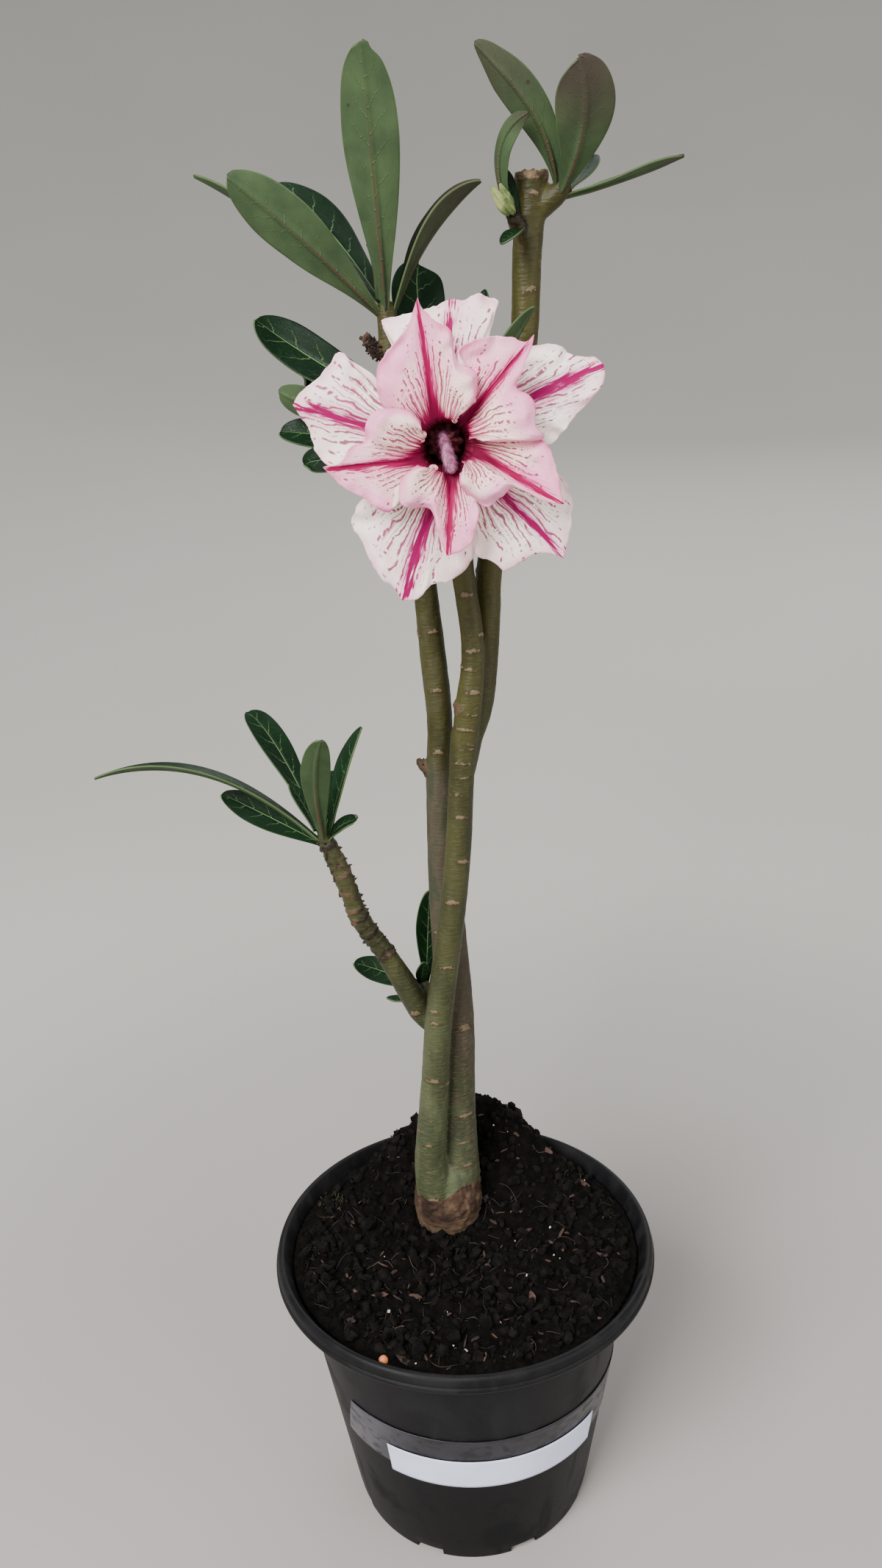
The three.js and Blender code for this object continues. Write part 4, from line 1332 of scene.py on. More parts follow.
class Skin(Enum):
    """What the skin of a stem is like."""

    GREEN = "green"
    BARK = "bark"
    RINGED = "ringed"
    CORK = "cork"
    WITHERED = "withered"


@dataclass
class Stem:
    """One stem: its centreline as [x, y, z, width], its skin and how its far end looks."""

    stations: list[Point]
    skin: Skin
    round_end: bool = True

    def route(self) -> Route:
        """The stem's centreline."""
        return Route(self.stations)


def plant_stems() -> dict[str, Stem]:
    """Every stem of the plant, by name."""
    return {
        "caudex": Stem(
            [
                (-6, 19, 56, 20), (-6, 19, 88, 22), (-6.2, 18.6, 107, 24.4), (-6.2, 18.4, 116, 27),
                (-6, 18.6, 123, 28.2), (-5.6, 19, 131, 22),
            ],
            Skin.CORK,
        ),
        "front": Stem(
            [
                (-10.6, 13.6, 112, 13), (-11.2, 13, 126, 15.4), (-12.8, 12.6, 143, 12.8),
                (-11.7, 12, 156, 12.2), (-9, 11.4, 183, 11.2), (-6.6, 10.8, 209, 10.9), (-3, 10.2, 234, 10.5),
                (0.7, 10, 258, 10.2), (3.6, 10, 282, 9.9), (5.4, 9, 307, 9.5), (7, 9, 326, 9.8),
            ],
            Skin.GREEN,
        ),
        "middle": Stem(
            [
                (6.6, 9, 318, 9), (9.2, 8, 337, 9.8), (11, 8, 351, 8.4), (10.9, 8, 365, 8.2),
                (9, 9, 381, 8.1), (7.1, 10, 405, 8), (4.3, 10, 431, 7.9),
            ],
            Skin.GREEN,
        ),
        "right": Stem(
            [
                (7, 10, 312, 8), (9.8, 12, 324, 8.8), (13.6, 14, 335, 9.1), (15.5, 16, 349, 9.6),
                (17.2, 17, 369, 9.5), (18.5, 18, 385, 9.4), (25.8, 18, 427, 9.6), (31.7, 18, 459, 9.4),
                (33.1, 18, 483, 9.7), (34.6, 18, 500, 10.2), (35, 18, 508.2, 10.8),
            ],
            Skin.GREEN,
            round_end=False,
        ),
        "rear": Stem(
            [
                (-1.6, 21, 112, 15), (-1.2, 21, 128, 18), (-1, 22, 144, 16.6), (-0.9, 22.4, 165, 15.8),
                (0, 22.6, 202, 15.2), (-1.2, 22.6, 238, 14), (-2.4, 22, 271, 11.8), (-2.6, 21, 304, 9.9),
                (-1.4, 20, 328, 9.5), (-2.6, 19, 349, 9.7), (-4.7, 18, 378, 8.6), (-6.8, 17, 405, 8.1),
                (-8.9, 16, 429, 8), (-12.5, 15, 456, 7.3), (-13.3, 15, 470, 6.6),
            ],
            Skin.BARK,
        ),
        "side": Stem(
            [
                (-5, 20, 199, 9), (-13, 20.4, 208, 10.2), (-16.8, 19, 216, 9.8), (-21.9, 17, 227.6, 8.8),
                (-26.5, 15.5, 237.4, 7.8), (-30.8, 14, 245.3, 7), (-34.7, 12.8, 252.8, 7.6),
                (-37.2, 11.4, 261.6, 6.8), (-40.1, 10, 272.2, 7.3), (-42.6, 9.2, 280, 6.8), (-46, 9, 289, 6),
            ],
            Skin.RINGED,
        ),
        "axil_shoot": Stem([(-6, 24, 205, 6), (-9.6, 25.5, 212, 5.4), (-12, 26.6, 217, 4.6)], Skin.GREEN),
        "top_shoot": Stem(
            [(34.5, 17.8, 495.5, 6.2), (40, 16.2, 499.6, 7.2), (45, 14.6, 503.6, 6.4)], Skin.GREEN
        ),
        "bud_shoot": Stem([(34, 17, 487, 5), (31, 14, 491, 5), (28.6, 11.4, 494.6, 4.6)], Skin.RINGED),
        "dry_stalk": Stem(
            [
                (-12, 15, 454, 4.4), (-15.6, 14.2, 456, 4.2), (-17.6, 13.4, 457, 5.2), (-18.8, 13, 459, 3.6),
                (-21, 12, 461.6, 3.4),
            ],
            Skin.WITHERED,
            round_end=False,
        ),
        "fork_nub": Stem([(8.2, 8, 334, 5), (4.6, 7, 337.6, 2.6)], Skin.RINGED),
        "rear_stub": Stem([(-3, 21, 306, 6), (-7, 21, 310, 4.6), (-9.6, 21, 312.6, 3.4)], Skin.WITHERED),
    }


@dataclass
class Scar:
    """A leaf scar: the stem it is on, its share of the stem's length and its turn round it."""

    stem: str
    share: float
    turn: float
    width: float = 3.4
    height: float = 1.1


@dataclass
class Stems:
    """All the stems grown together, with their scars, rings, nubs and the cut top."""

    stems: dict[str, Stem] = field(default_factory=plant_stems)
    sides: int = 28
    step: float = 2.2
    voxel: float = 0.75
    golden_turn: float = 137.5
    bark_rise: tuple[float, float] = (150.0, 230.0)
    bark_end: tuple[float, float] = (300.0, 318.0)
    cork_edge: tuple[float, float] = (130.0, 127.0)
    withered: dict[str, tuple[float, float]] = field(
        default_factory=lambda: {"dry_stalk": (-15.0, 1.0), "rear_stub": (-6.5, 0.8)}
    )
    seed: int = 5

    def scars(self) -> list[Scar]:
        """The scars, in a spiral up each long stem, and those that the front shows."""
        draw = random.Random(self.seed)
        found = []
        rules = {"front": (9, 60), "middle": (6, 60), "right": (11, 100), "rear": (13, 30)}
        for name, (count, first) in rules.items():
            for i in range(count):
                share = 0.1 + 0.86 * (i + draw.uniform(0.0, 0.4)) / count
                turn = first + i * self.golden_turn + draw.uniform(-12, 12)
                found.append(Scar(name, share, turn, draw.uniform(3.0, 5.0), draw.uniform(0.9, 1.4)))
        shown = {
            "front": (
                (0.08, 262, 6.4, 1.7), (0.2, 262, 4.0, 1.0), (0.34, 260, 5.4, 1.7),
                (0.46, 252, 4.4, 1.2), (0.575, 278, 5.6, 1.1), (0.7, 262, 5.0, 1.5),
                (0.86, 275, 4.6, 1.2), (0.9, 255, 5.6, 0.7), (0.93, 285, 6.4, 0.6),
                (0.955, 262, 7.0, 0.8), (0.98, 290, 6.0, 0.6),
            ),
            "rear": (
                (0.075, 296, 6.0, 1.1), (0.105, 290, 7.0, 0.9), (0.14, 300, 7.4, 1.5),
                (0.25, 300, 7.0, 1.2), (0.64, 268, 4.4, 1.2), (0.7, 285, 4.0, 1.1),
                (0.76, 262, 4.0, 1.1), (0.82, 280, 3.6, 1.0),
            ),
            "middle": (
                (0.05, 290, 6.4, 0.6), (0.1, 262, 6.6, 0.9), (0.15, 285, 5.4, 0.7),
                (0.22, 280, 5.4, 1.3), (0.29, 255, 4.2, 0.9), (0.35, 270, 5.0, 1.5),
                (0.52, 268, 5.0, 1.4), (0.68, 255, 4.0, 1.3),
            ),
            "right": (
                (0.97, 275, 3.4, 1.1), (0.83, 290, 3.2, 1.1), (0.6, 268, 4.6, 1.2),
                (0.7, 282, 4.0, 1.1),
            ),
            "side": (
                (0.16, 250, 4.0, 2.0),
            ),
        }
        return found + [Scar(name, *rest) for name, group in shown.items() for rest in group]

    def build(self, palette: Palette) -> None:
        """Makes the stems and what is on them."""
        routes = {name: stem.route() for name, stem in self.stems.items()}
        bm = bmesh.new()
        for name, stem in self.stems.items():
            sweep_tube(bm, routes[name], self.sides, self.step, stem.round_end)
        closed_out(bm)
        plant = finish_mesh(bm, "grafted_stems", [palette.stem])
        grown = plant.modifiers.new("grown_together", "REMESH")
        grown.mode = "VOXEL"
        grown.voxel_size = self.voxel * MM
        settle(plant)
        self._shape(plant, routes)
        seat(plant, "stem_skin", "stems")
        self._nubs(palette, routes)
        self._cut_top(palette)

    def _shape(self, plant: Piece, routes: dict[str, Route]) -> None:
        """Smooths the joins, adds the skin's relief and marks where each kind of skin is."""
        samples = []
        for name, route in routes.items():
            count = max(4, int(route.length / 2))
            for i in range(count + 1):
                spot = route.at(i / count)
                samples.append((Vector(spot[:3]), spot[3] / 2, name, i / count))
        tree = near_tree([sample[0] for sample in samples])
        scars = [(scar, *self._scar_frame(scar, routes)) for scar in self.scars()]
        scar_tree = near_tree([scar[1] for scar in scars])
        levels = self._ring_levels(routes["side"].length)
        bm = bmesh.new()
        bm.from_mesh(plant.data)
        for _ in range(3):
            bmesh.ops.smooth_vert(
                bm, verts=bm.verts, factor=0.5, use_axis_x=True, use_axis_y=True, use_axis_z=True
            )
        bm.normal_update()
        for key in ("bark", "rings", "cork", "withered", "scar"):
            bm.verts.layers.float.new(key)
        layers = bm.verts.layers.float
        moved = []
        for vert in bm.verts:
            spot = vert.co / MM
            near = tree.find_n(spot, 4)
            _, index, _ = min(near, key=lambda item: item[2] - samples[item[1]][1])
            _, _, name, share = samples[index]
            marks = self._skin_marks(name, share, share * routes[name].length, spot, levels)
            marks["scar"] = self._scar_mark(spot, scars, scar_tree)
            for key, value in marks.items():
                vert[layers[key]] = value
            moved.append((vert, vert.normal * self._lift(spot, marks) * MM))
        for vert, shift in moved:
            vert.co += shift
        for face in bm.faces:
            face.smooth = True
        bm.to_mesh(plant.data)
        bm.free()

    def _ring_levels(self, reach: float) -> list[float]:
        """Where the ring scars lie along the side branch, from its middle to its end."""
        draw = random.Random(self.seed + 3)
        levels = [0.44 * reach]
        while levels[-1] < reach:
            levels.append(levels[-1] + draw.uniform(3.0, 5.4))
        return levels

    def _skin_marks(
        self, name: str, share: float, along: float, spot: Vector, levels: Sequence[float]
    ) -> dict[str, float]:
        """How much of each kind of skin there is at a point.

        Args:
            name: The stem that the point is on.
            share, along: How far up that stem it is, as a share and in millimetres.
            spot: The point.
            levels: Where the side branch has its rings.

        Returns:
            Its bark, rings, cork and withered wood, from 0 to 1.
        """
        skin = self.stems[name].skin
        blot = rough(spot, 0.12, 3)
        bark = {Skin.BARK: 0.75, Skin.RINGED: 0.1, Skin.CORK: 0.2}.get(skin, 0.0)
        if skin is Skin.BARK:
            bark = lerp(0.45, 1.05, smooth(spot.z, *self.bark_rise))
            bark -= 0.7 * smooth(spot.z + 5 * blot, *self.bark_end)
        ringed = 0.0
        if name == "side":
            level = along + 1.3 * blot
            ringed = max(bump(level, ring, 0.85) for ring in levels) * smooth(share, 0.36, 0.46)
        elif skin is Skin.RINGED:
            ringed = 0.6 * smooth(share, 0.2, 0.55)
        right = spot.x + 9
        ragged = spot.z + 2 * blot + 1.6 * math.cos(right * 0.42) - 0.2 * right
        edge, withered = self.withered.get(name, (-math.inf, 0.0))
        return {
            "bark": clamp(bark + 0.25 * blot),
            "rings": clamp(ringed),
            "cork": smooth(ragged, *self.cork_edge),
            "withered": withered if spot.x < edge else 0.0,
        }

    @staticmethod
    def _lift(spot: Vector, marks: dict[str, float]) -> float:
        """How many millimetres the skin stands out at a point."""
        lift = 0.12 * rough(Vector((spot.x, spot.y, spot.z * 0.4)), 0.5, 3)
        lift += 0.8 * marks["cork"] * rough(spot, 0.45, 4)
        lift += marks["rings"] * (0.45 + 0.45 * rough(spot, 0.7, 3))
        lift += marks["withered"] * 0.9 * rough(spot, 0.8, 4)
        return lift + 0.32 * smooth(marks["scar"], 0.25, 0.8)

    def _scar_mark(
        self, spot: Vector, scars: list[tuple[Scar, Vector, Vector, Vector]], tree: KDTree
    ) -> float:
        """How far inside the nearest scar a point is."""
        mark = 0.0
        for _, i, _ in tree.find_range(spot, 5):
            scar, centre, way, out = scars[i]
            if (spot - centre).dot(out) > -2.5:
                mark = max(mark, self._scar_field(spot - centre, way, out, scar))
        return mark

    @staticmethod
    def _scar_field(offset: Vector, way: Vector, out: Vector, scar: Scar) -> float:
        """How far inside a scar's crescent an offset from its centre is: 1 in the middle, 0 well outside."""
        across = offset.dot(way.cross(out)) / (scar.width / 2)
        level = (offset.dot(way) + 0.5 * across * across) / (scar.height * 0.62)
        return clamp(1 - math.hypot(across, level) / 2)

    def _scar_frame(self, scar: Scar, routes: dict[str, Route]) -> tuple[Vector, Vector, Vector]:
        """Where a scar is, the way its stem runs there and the way it faces."""
        route = routes[scar.stem]
        spot = route.at(scar.share)
        way = route.heading(scar.share)
        angle = math.radians(scar.turn)
        out = Vector((math.cos(angle), math.sin(angle), 0))
        out = (out - way * out.dot(way)).normalized()
        return Vector(spot[:3]) + out * spot[3] / 2, way, out

    def _nubs(self, palette: Palette, routes: dict[str, Route]) -> None:
        """Dark dry nubs and ragged scales on the side branch, the dry stalk and the bud shoot."""
        bm = bmesh.new()
        draw = random.Random(self.seed + 2)
        rules = {
            "side": (84, 0.4, 0.99, 0.95),
            "dry_stalk": (46, 0.3, 1.0, 0.8),
            "bud_shoot": (12, 0.3, 0.9, 0.5),
            "rear_stub": (8, 0.6, 1.0, 0.6),
        }
        for name, (count, low, high, size) in rules.items():
            for i in range(count):
                share = lerp(low, high, (i + draw.random()) / count)
                spot, way, out = self._scar_frame(Scar(name, share, draw.uniform(0, 360)), routes)
                facing = (out + way * draw.uniform(-0.3, 0.9)).normalized()
                turn = Vector((0, 0, 1)).rotation_difference(facing).to_matrix().to_4x4()
                scale = [size * draw.uniform(*limits) for limits in ((0.4, 1.0), (0.3, 0.7), (0.5, 1.4))]
                place = Matrix.Translation(spot) @ turn @ Matrix.Diagonal((*scale, 1))
                lump(bm, draw, place, spot, -0.4, 0.35)
        seat(finish_mesh(bm, "dry_nubs", [palette.nub], soft=False), "stem_skin")

    def _cut_top(self, palette: Palette) -> None:
        """The ragged, dried face where the right stem was cut."""
        bm = bmesh.new()
        spot = Vector(self.stems["right"].stations[-1][:3])
        radius = self.stems["right"].stations[-1][3] / 2
        rings = (
            (0, -1.2), (0.35, -1.1), (0.6, -0.7), (0.78, 0.05),
            (0.9, 0.5), (1.0, 0.35), (1.03, -0.8), (0.98, -2.2),
        )
        spin_profile(bm, [(share * radius, level) for share, level in rings], 72)
        for vert in bm.verts:
            angle = math.atan2(vert.co.y, vert.co.x)
            outer = smooth(math.hypot(vert.co.x, vert.co.y), radius * 0.5, radius)
            ragged = rough(Vector((math.cos(angle) * 3, math.sin(angle) * 3, 4)), 1.6, 4)
            vert.co.z += outer * 0.7 * ragged * (1 if vert.co.z > -0.5 else 0)
            vert.co += spot
        cap = finish_mesh(bm, "cut_stem_face", [palette.cut_wood])
        thicken(cap, 0.5)
        seat(cap, "stem_skin")


# ---- Leaves ----------------------------------------------------------------------------------


class Tip(Enum):
    """How a leaf ends."""

    POINTED = "pointed"
    ROUNDED = "rounded"
    NOTCHED = "notched"
    HOOKED = "hooked"
    CHIPPED = "chipped"


@dataclass(frozen=True)
class Shoot:
    """The end of a shoot, the way it points and its radius there."""

    end: Point
    way: Point
    radius: float


SHOOTS = {
    "crown": Shoot((-13.3, 15, 471), (-0.1, 0, 1), 3.2),
    "rosette": Shoot((4.2, 10, 432), (-0.1, 0, 1), 3.8),
    "top": Shoot((45, 14.6, 504), (0.62, -0.18, 0.76), 3.1),
    "bud": Shoot((28.6, 11.4, 495), (-0.4, -0.42, 0.8), 2.2),
    "side": Shoot((-46.6, 9, 290), (-0.42, 0, 0.9), 2.9),
    "axil": Shoot((-12, 26.6, 217.6), (-0.4, 0.2, 0.9), 2.2),
}


@dataclass(frozen=True)
class Leaf:
    """One leaf, seated on its shoot and bent through two points."""

    name: str
    turn: float
    drop: float
    middle: Point
    tip: Point
    width: float
    face: Point
    fold: float
    wave: float
    end: Tip = Tip.ROUNDED
    blush: float = 0.0
    blush_from: float = 0.6
    roll: float = 0.0

    BROADEST = 0.62
    FULLNESS = 2.2
    STALK_WIDTH = 1.8
    TIP_WIDTH = 0.5
    THICK = 1.5
    MARGIN_SHARE = 0.42

    @property
    def shoot(self) -> Shoot:
        """The shoot that the leaf sits on."""
        return SHOOTS[self.name.split("_")[0]]

    def outline(self, share: float) -> float:
        """The share of the full width at a share of the length."""
        rise = (share / self.BROADEST) ** (self.FULLNESS * self.BROADEST)
        fall = ((1 - share) / (1 - self.BROADEST)) ** (self.FULLNESS * (1 - self.BROADEST))
        if self.end is Tip.POINTED or share < self.BROADEST:
            return rise * fall
        beyond = (share - self.BROADEST) / (1 - self.BROADEST)
        return lerp(rise * fall, (1 - beyond**2) ** 0.58, smooth(beyond, 0, 0.25))

    def rib(self, share: float) -> tuple[Vector, Vector]:
        """A point of the midrib and the way that it runs there."""
        way = Vector(self.shoot.way).normalized()
        turn = math.radians(self.turn)
        out = Vector((math.cos(turn), math.sin(turn), 0))
        out = (out - way * out.dot(way)).normalized()
        base = Vector(self.shoot.end) - way * self.drop + out * (self.shoot.radius - 0.9)
        tip = Vector(self.tip)
        control = Vector(self.middle) * 2 - base * 0.5 - tip * 0.5
        rest = 1 - share
        point = base * rest**2 + control * 2 * rest * share + tip * share**2
        heading = (control - base) * 2 * rest + (tip - control) * 2 * share
        return point, heading.normalized()

    def build(self, palette: Palette, seed: int) -> None:
        """Makes the leaf.

        Args:
            palette: The finishes.
            seed: Sets how its margin and veins wander.
        """
        small = self.width < 6
        bm = bmesh.new()
        bm.verts.layers.deform.new()
        grid = sheet_grid(bm, 14 if small else 26, 30 if small else 72, ("seed", "blush"))
        body = bm.verts.layers.deform.verify()
        seeds = bm.verts.layers.float["seed"]
        blush = bm.verts.layers.float["blush"]
        slope = math.tan(math.radians(self.fold))
        for vert, side, share in grid:
            vert.co = self._point(side, share, slope, seed)
            vert[seeds] = seed * 3.7
            patchy = 0.1 * noise.noise(Vector((side, share, seed)))
            vert[blush] = self.blush * smooth(share + patchy, self.blush_from, 1)
            rib = bump(side, 0, 0.1 + 0.25 * (1 - share) ** 4)
            vert[body][0] = lerp(self.MARGIN_SHARE, 0.55 + 0.45 * (1 - share), rib)
        leaf = finish_mesh(bm, self.name, [palette.leaf_top, palette.leaf_under])
        leaf.vertex_groups.new(name="body")
        thicken(leaf, self.THICK, 1, "body")
        leaf.vertex_groups.clear()
        leaf.name = self.name + "_blade"
        seat(leaf, "leaf", self.name)

    def _point(self, side: float, share: float, slope: float, seed: int) -> Vector:
        """A point of the blade's upper side."""
        centre, along = self.rib(share)
        up = Vector(self.face)
        up = (up - along * up.dot(along)).normalized()
        up.rotate(Quaternion(along, math.radians(self.roll * share)))
        across = along.cross(up)
        stalk = (1 - share) ** 3
        half = (self.STALK_WIDTH * stalk + self.TIP_WIDTH + self.width * self.outline(share)) / 2
        sway = noise.noise(Vector((share * 4, (1 if side > 0 else -1) * 3, seed * 1.7)))
        half *= 1 + 0.05 * sway * smooth(share, 0.1, 0.3)
        if self.end is Tip.CHIPPED and side < 0:
            half *= 1 - 0.3 * bump(share, 0.965, 0.03)
        if self.end is Tip.NOTCHED:
            uneven = 0.5 + 0.7 * noise.noise(Vector((side * 4, 2, seed)))
            centre = centre - along * smooth(share, 0.86, 1.0) * uneven
        if self.end is Tip.HOOKED:
            centre = centre + (along - across * 0.6) * smooth(share, 0.85, 1.0)
            half *= 1 - 0.35 * smooth(share, 0.75, 1.0) * (1 if side > 0 else 0)
        lift = half * abs(side) * slope * (1 - stalk)
        lift += 0.35 * half * slope * (side * side - abs(side))
        ripple = self.wave * side**2 * math.sin(share * 9 + side)
        ripple += 0.35 * self.wave * side**2 * noise.noise(Vector((share * 6, side, seed)))
        groove = -0.28 * bump(side, 0, 0.07) * smooth(share, 0, 0.2) * smooth(1 - share, 0, 0.3)
        return centre + across * half * side + up * (lift + ripple + groove + 0.35)


def plant_leaves() -> list[Leaf]:
    """Every leaf, tuft by tuft."""
    tufts = {
        "crown": (
            (-95, 2, (-14.8, -4, 509.6), (-16, -16, 538.6), 16.8, (0.2, 1, 0.2), 7, 0.5, Tip.CHIPPED),
            (-155, 3, (-38.2, 2, 490.3), (-58.9, -4, 507.3), 16.4, (0.25, 1, 0.25), 8, 0.5),
            (108, 1, (-31.1, 34, 495.1), (-50, 50, 513.6), 17, (0.5, -0.75, 0.6), 10, 0.4),
            (172, 2, (-43.8, 20, 493.9), (-73.5, 24, 512.4), 13, (0.5, -0.06, 0.85), 14, 0.3, Tip.POINTED),
            (-10, 2, (1.3, 11, 489.9), (18.3, 9, 505.3), 11.6, (-0.62, -0.16, 0.6), 38, 0.2,
             Tip.POINTED, 0.5, -0.5),
            (-170, -1.5, (-16.4, 15, 482.9), (-18.6, 15, 489.5), 4.6, (0.8, 0.4, 0.3), 16, 0,
             Tip.POINTED, 0.6, 0.3),
        ),
        "rosette": (
            (118, 2, (-35.6, 31, 453), (-59.1, 36, 469.3), 15, (0.2, -1, 0.45), 9, 0.4),
            (92, 6, (-31, 37, 443.4), (-44.4, 39, 450.4), 11, (0.2, -1, 0.4), 9, 0.2),
            (-138, 2, (-31.9, 1, 438.6), (-49, 2, 445.4), 10, (0.1, 1, 0.35), 10, 0.2),
            (-158, 8, (-31.9, 7, 430.4), (-50.3, 9, 432.6), 10, (0.1, -0.9, 0.6), 12, 0.2),
            (100, 11, (-30.5, 34, 422.4), (-46.3, 38, 420.3), 9.5, (-0.1, -1, 0.4), 12, 0.2),
            (95, -0.5, (-2.4, 24, 467.6), (-2.1, 30, 484), 17.5, (0.15, -1, 0.35), 8, 0.3),
            (30, 3, (14.4, 19, 455.8), (19.7, 22, 474.9), 8, (-0.4, -0.7, 0.5), 14, 0.1, Tip.POINTED),
            (-22, 1, (23.3, 6, 452.3), (34, 3, 467.8), 8.6, (-0.62, 0.35, 0.65), 22, 0.1, Tip.POINTED),
        ),
        "top": (
            (-152, 1, (34.3, 5, 523.6), (17.5, 2, 540.1), 11.6, (0.45, 1, 0.3), 9, 0.3,
             Tip.HOOKED, 0.5, 0.25),
            (-74, 2, (49.4, -1, 519.1), (46.5, -10, 534), 17.4, (-0.1, 1, 0.4), 7, 0.4,
             Tip.NOTCHED, 0.75, 0.2),
            (-12, 2, (64.7, 11, 505.2), (81.6, 8, 509.9), 9.4, (-0.2, -0.1, 1), 16, 0.2,
             Tip.POINTED, 0.6, 0.75),
            (40, 1, (52.2, 28.4, 509.4), (57.4, 37, 516), 8.8, (-0.4, -0.8, 0.7), 12, 0.2),
            (112, 1, (44.9, 26, 515.1), (45.7, 33, 525.3), 8, (0.3, -1, 0.5), 12, 0.1),
        ),
        "bud": (
            (175, 2, (24.3, 7, 512.4), (32.7, 0, 522), 6.4, (0.85, 0.45, 0.3), 20, 0.2,
             Tip.POINTED, 0.5, 0.7),
            (40, 1, (27.6, 13.4, 502.3), (26, 14, 509.5), 4.6, (0.4, -0.9, 0.2), 12, 0, Tip.POINTED),
            (-75, 4, (27.9, 6, 489.6), (23.8, 3.4, 486.5), 4.2, (-0.2, -0.6, 0.8), 14, 0),
        ),
        "side": (
            (-165, 2, (-85.5, 5.5, 315.4), (-125.2, 1, 317.3), 10.6, (0.15, 0.0, 1), 14, 0,
             Tip.POINTED, 0, 0.6, 16),
            (165, 4.3, (-65.2, 12, 295.8), (-83.2, 15, 305), 10, (-0.3, -0.9, 0.75), 10, 0.2),
            (126, 2.4, (-62.2, 28, 316.2), (-75.1, 40, 329.3), 10.8, (0.5, -0.9, 0.5), 8, 0.3),
            (-85, 1.5, (-46, -6, 313.8), (-41.7, -18, 333.4), 9.8, (0, 1, 0.4), 6, 0.2),
            (8, 1.4, (-38.3, 13, 308.2), (-30.1, 17, 327.9), 8.4, (-0.8, -0.5, 0.4), 26, 0.1, Tip.POINTED),
            (68, 0, (-43.4, 20, 298.9), (-42.8, 25, 309.2), 4.8, (-0.1, -1, 0.3), 12, 0, Tip.POINTED),
            (-40, 2.8, (-38.9, 4, 294.6), (-32.5, 1, 297.7), 5.6, (-0.3, -0.5, 0.8), 12, 0.2, Tip.NOTCHED),
            (150, -1.6, (-53.2, 13.6, 299.8), (-58.2, 15, 307.8), 4.6, (0.6, -0.7, 0.4), 12, 0, Tip.POINTED),
        ),
        "axil": (
            (65, 0.5, (-9.8, 33.4, 235.7), (-8.4, 35, 254), 9.4, (0.3, -1, 0.2), 8, 0.2),
            (168, 2, (-26.5, 32, 219.6), (-40.3, 34, 224), 9.6, (0, -0.85, 0.65), 10, 0.2),
            (150, 5.5, (-20.5, 31, 208), (-27.8, 32, 208.4), 4, (0, -0.1, 1), 12, 0, Tip.POINTED),
            (-150, -0.8, (-12.6, 24.2, 222.4), (-11.6, 23.4, 228.4), 4.6, (0.2, -1, 0.2), 12, 0, Tip.POINTED),
        ),
    }
    return [Leaf(f"{tuft}_leaf_{i}", *row) for tuft, rows in tufts.items() for i, row in enumerate(rows, 1)]


@dataclass
class Foliage:
    """The leaves of the six tufts."""

    leaves: list[Leaf] = field(default_factory=plant_leaves)

    def build(self, palette: Palette) -> None:
        """Makes every leaf."""
        for i, leaf in enumerate(self.leaves):
            leaf.build(palette, i + 1)


# ---- Flower ----------------------------------------------------------------------------------


@dataclass(frozen=True)
class Lobe:
    """One petal: where it leaves the throat, its tip, and its margin from the tip to each side.

    Angles are degrees on the flower's face. Points are [right, up, in front] of its centre.
    """

    root: float
    left_root: float
    right_root: float
    tip: Point
    left: list[Point]
    right: list[Point]
    lip: float = 0.0


@dataclass
class Corolla:
    """A whorl of five petals that grow out of one funnel."""

    name: str
    node: str
    slot: str
    lobes: list[Lobe]
    bore: list[Point]
    front: float
    swell: float
    curl: float
    ruffle: float
    seed: int
    thick: float = 0.42
    columns: int = 72
    throat_rows: int = 10
    rows: int = 52


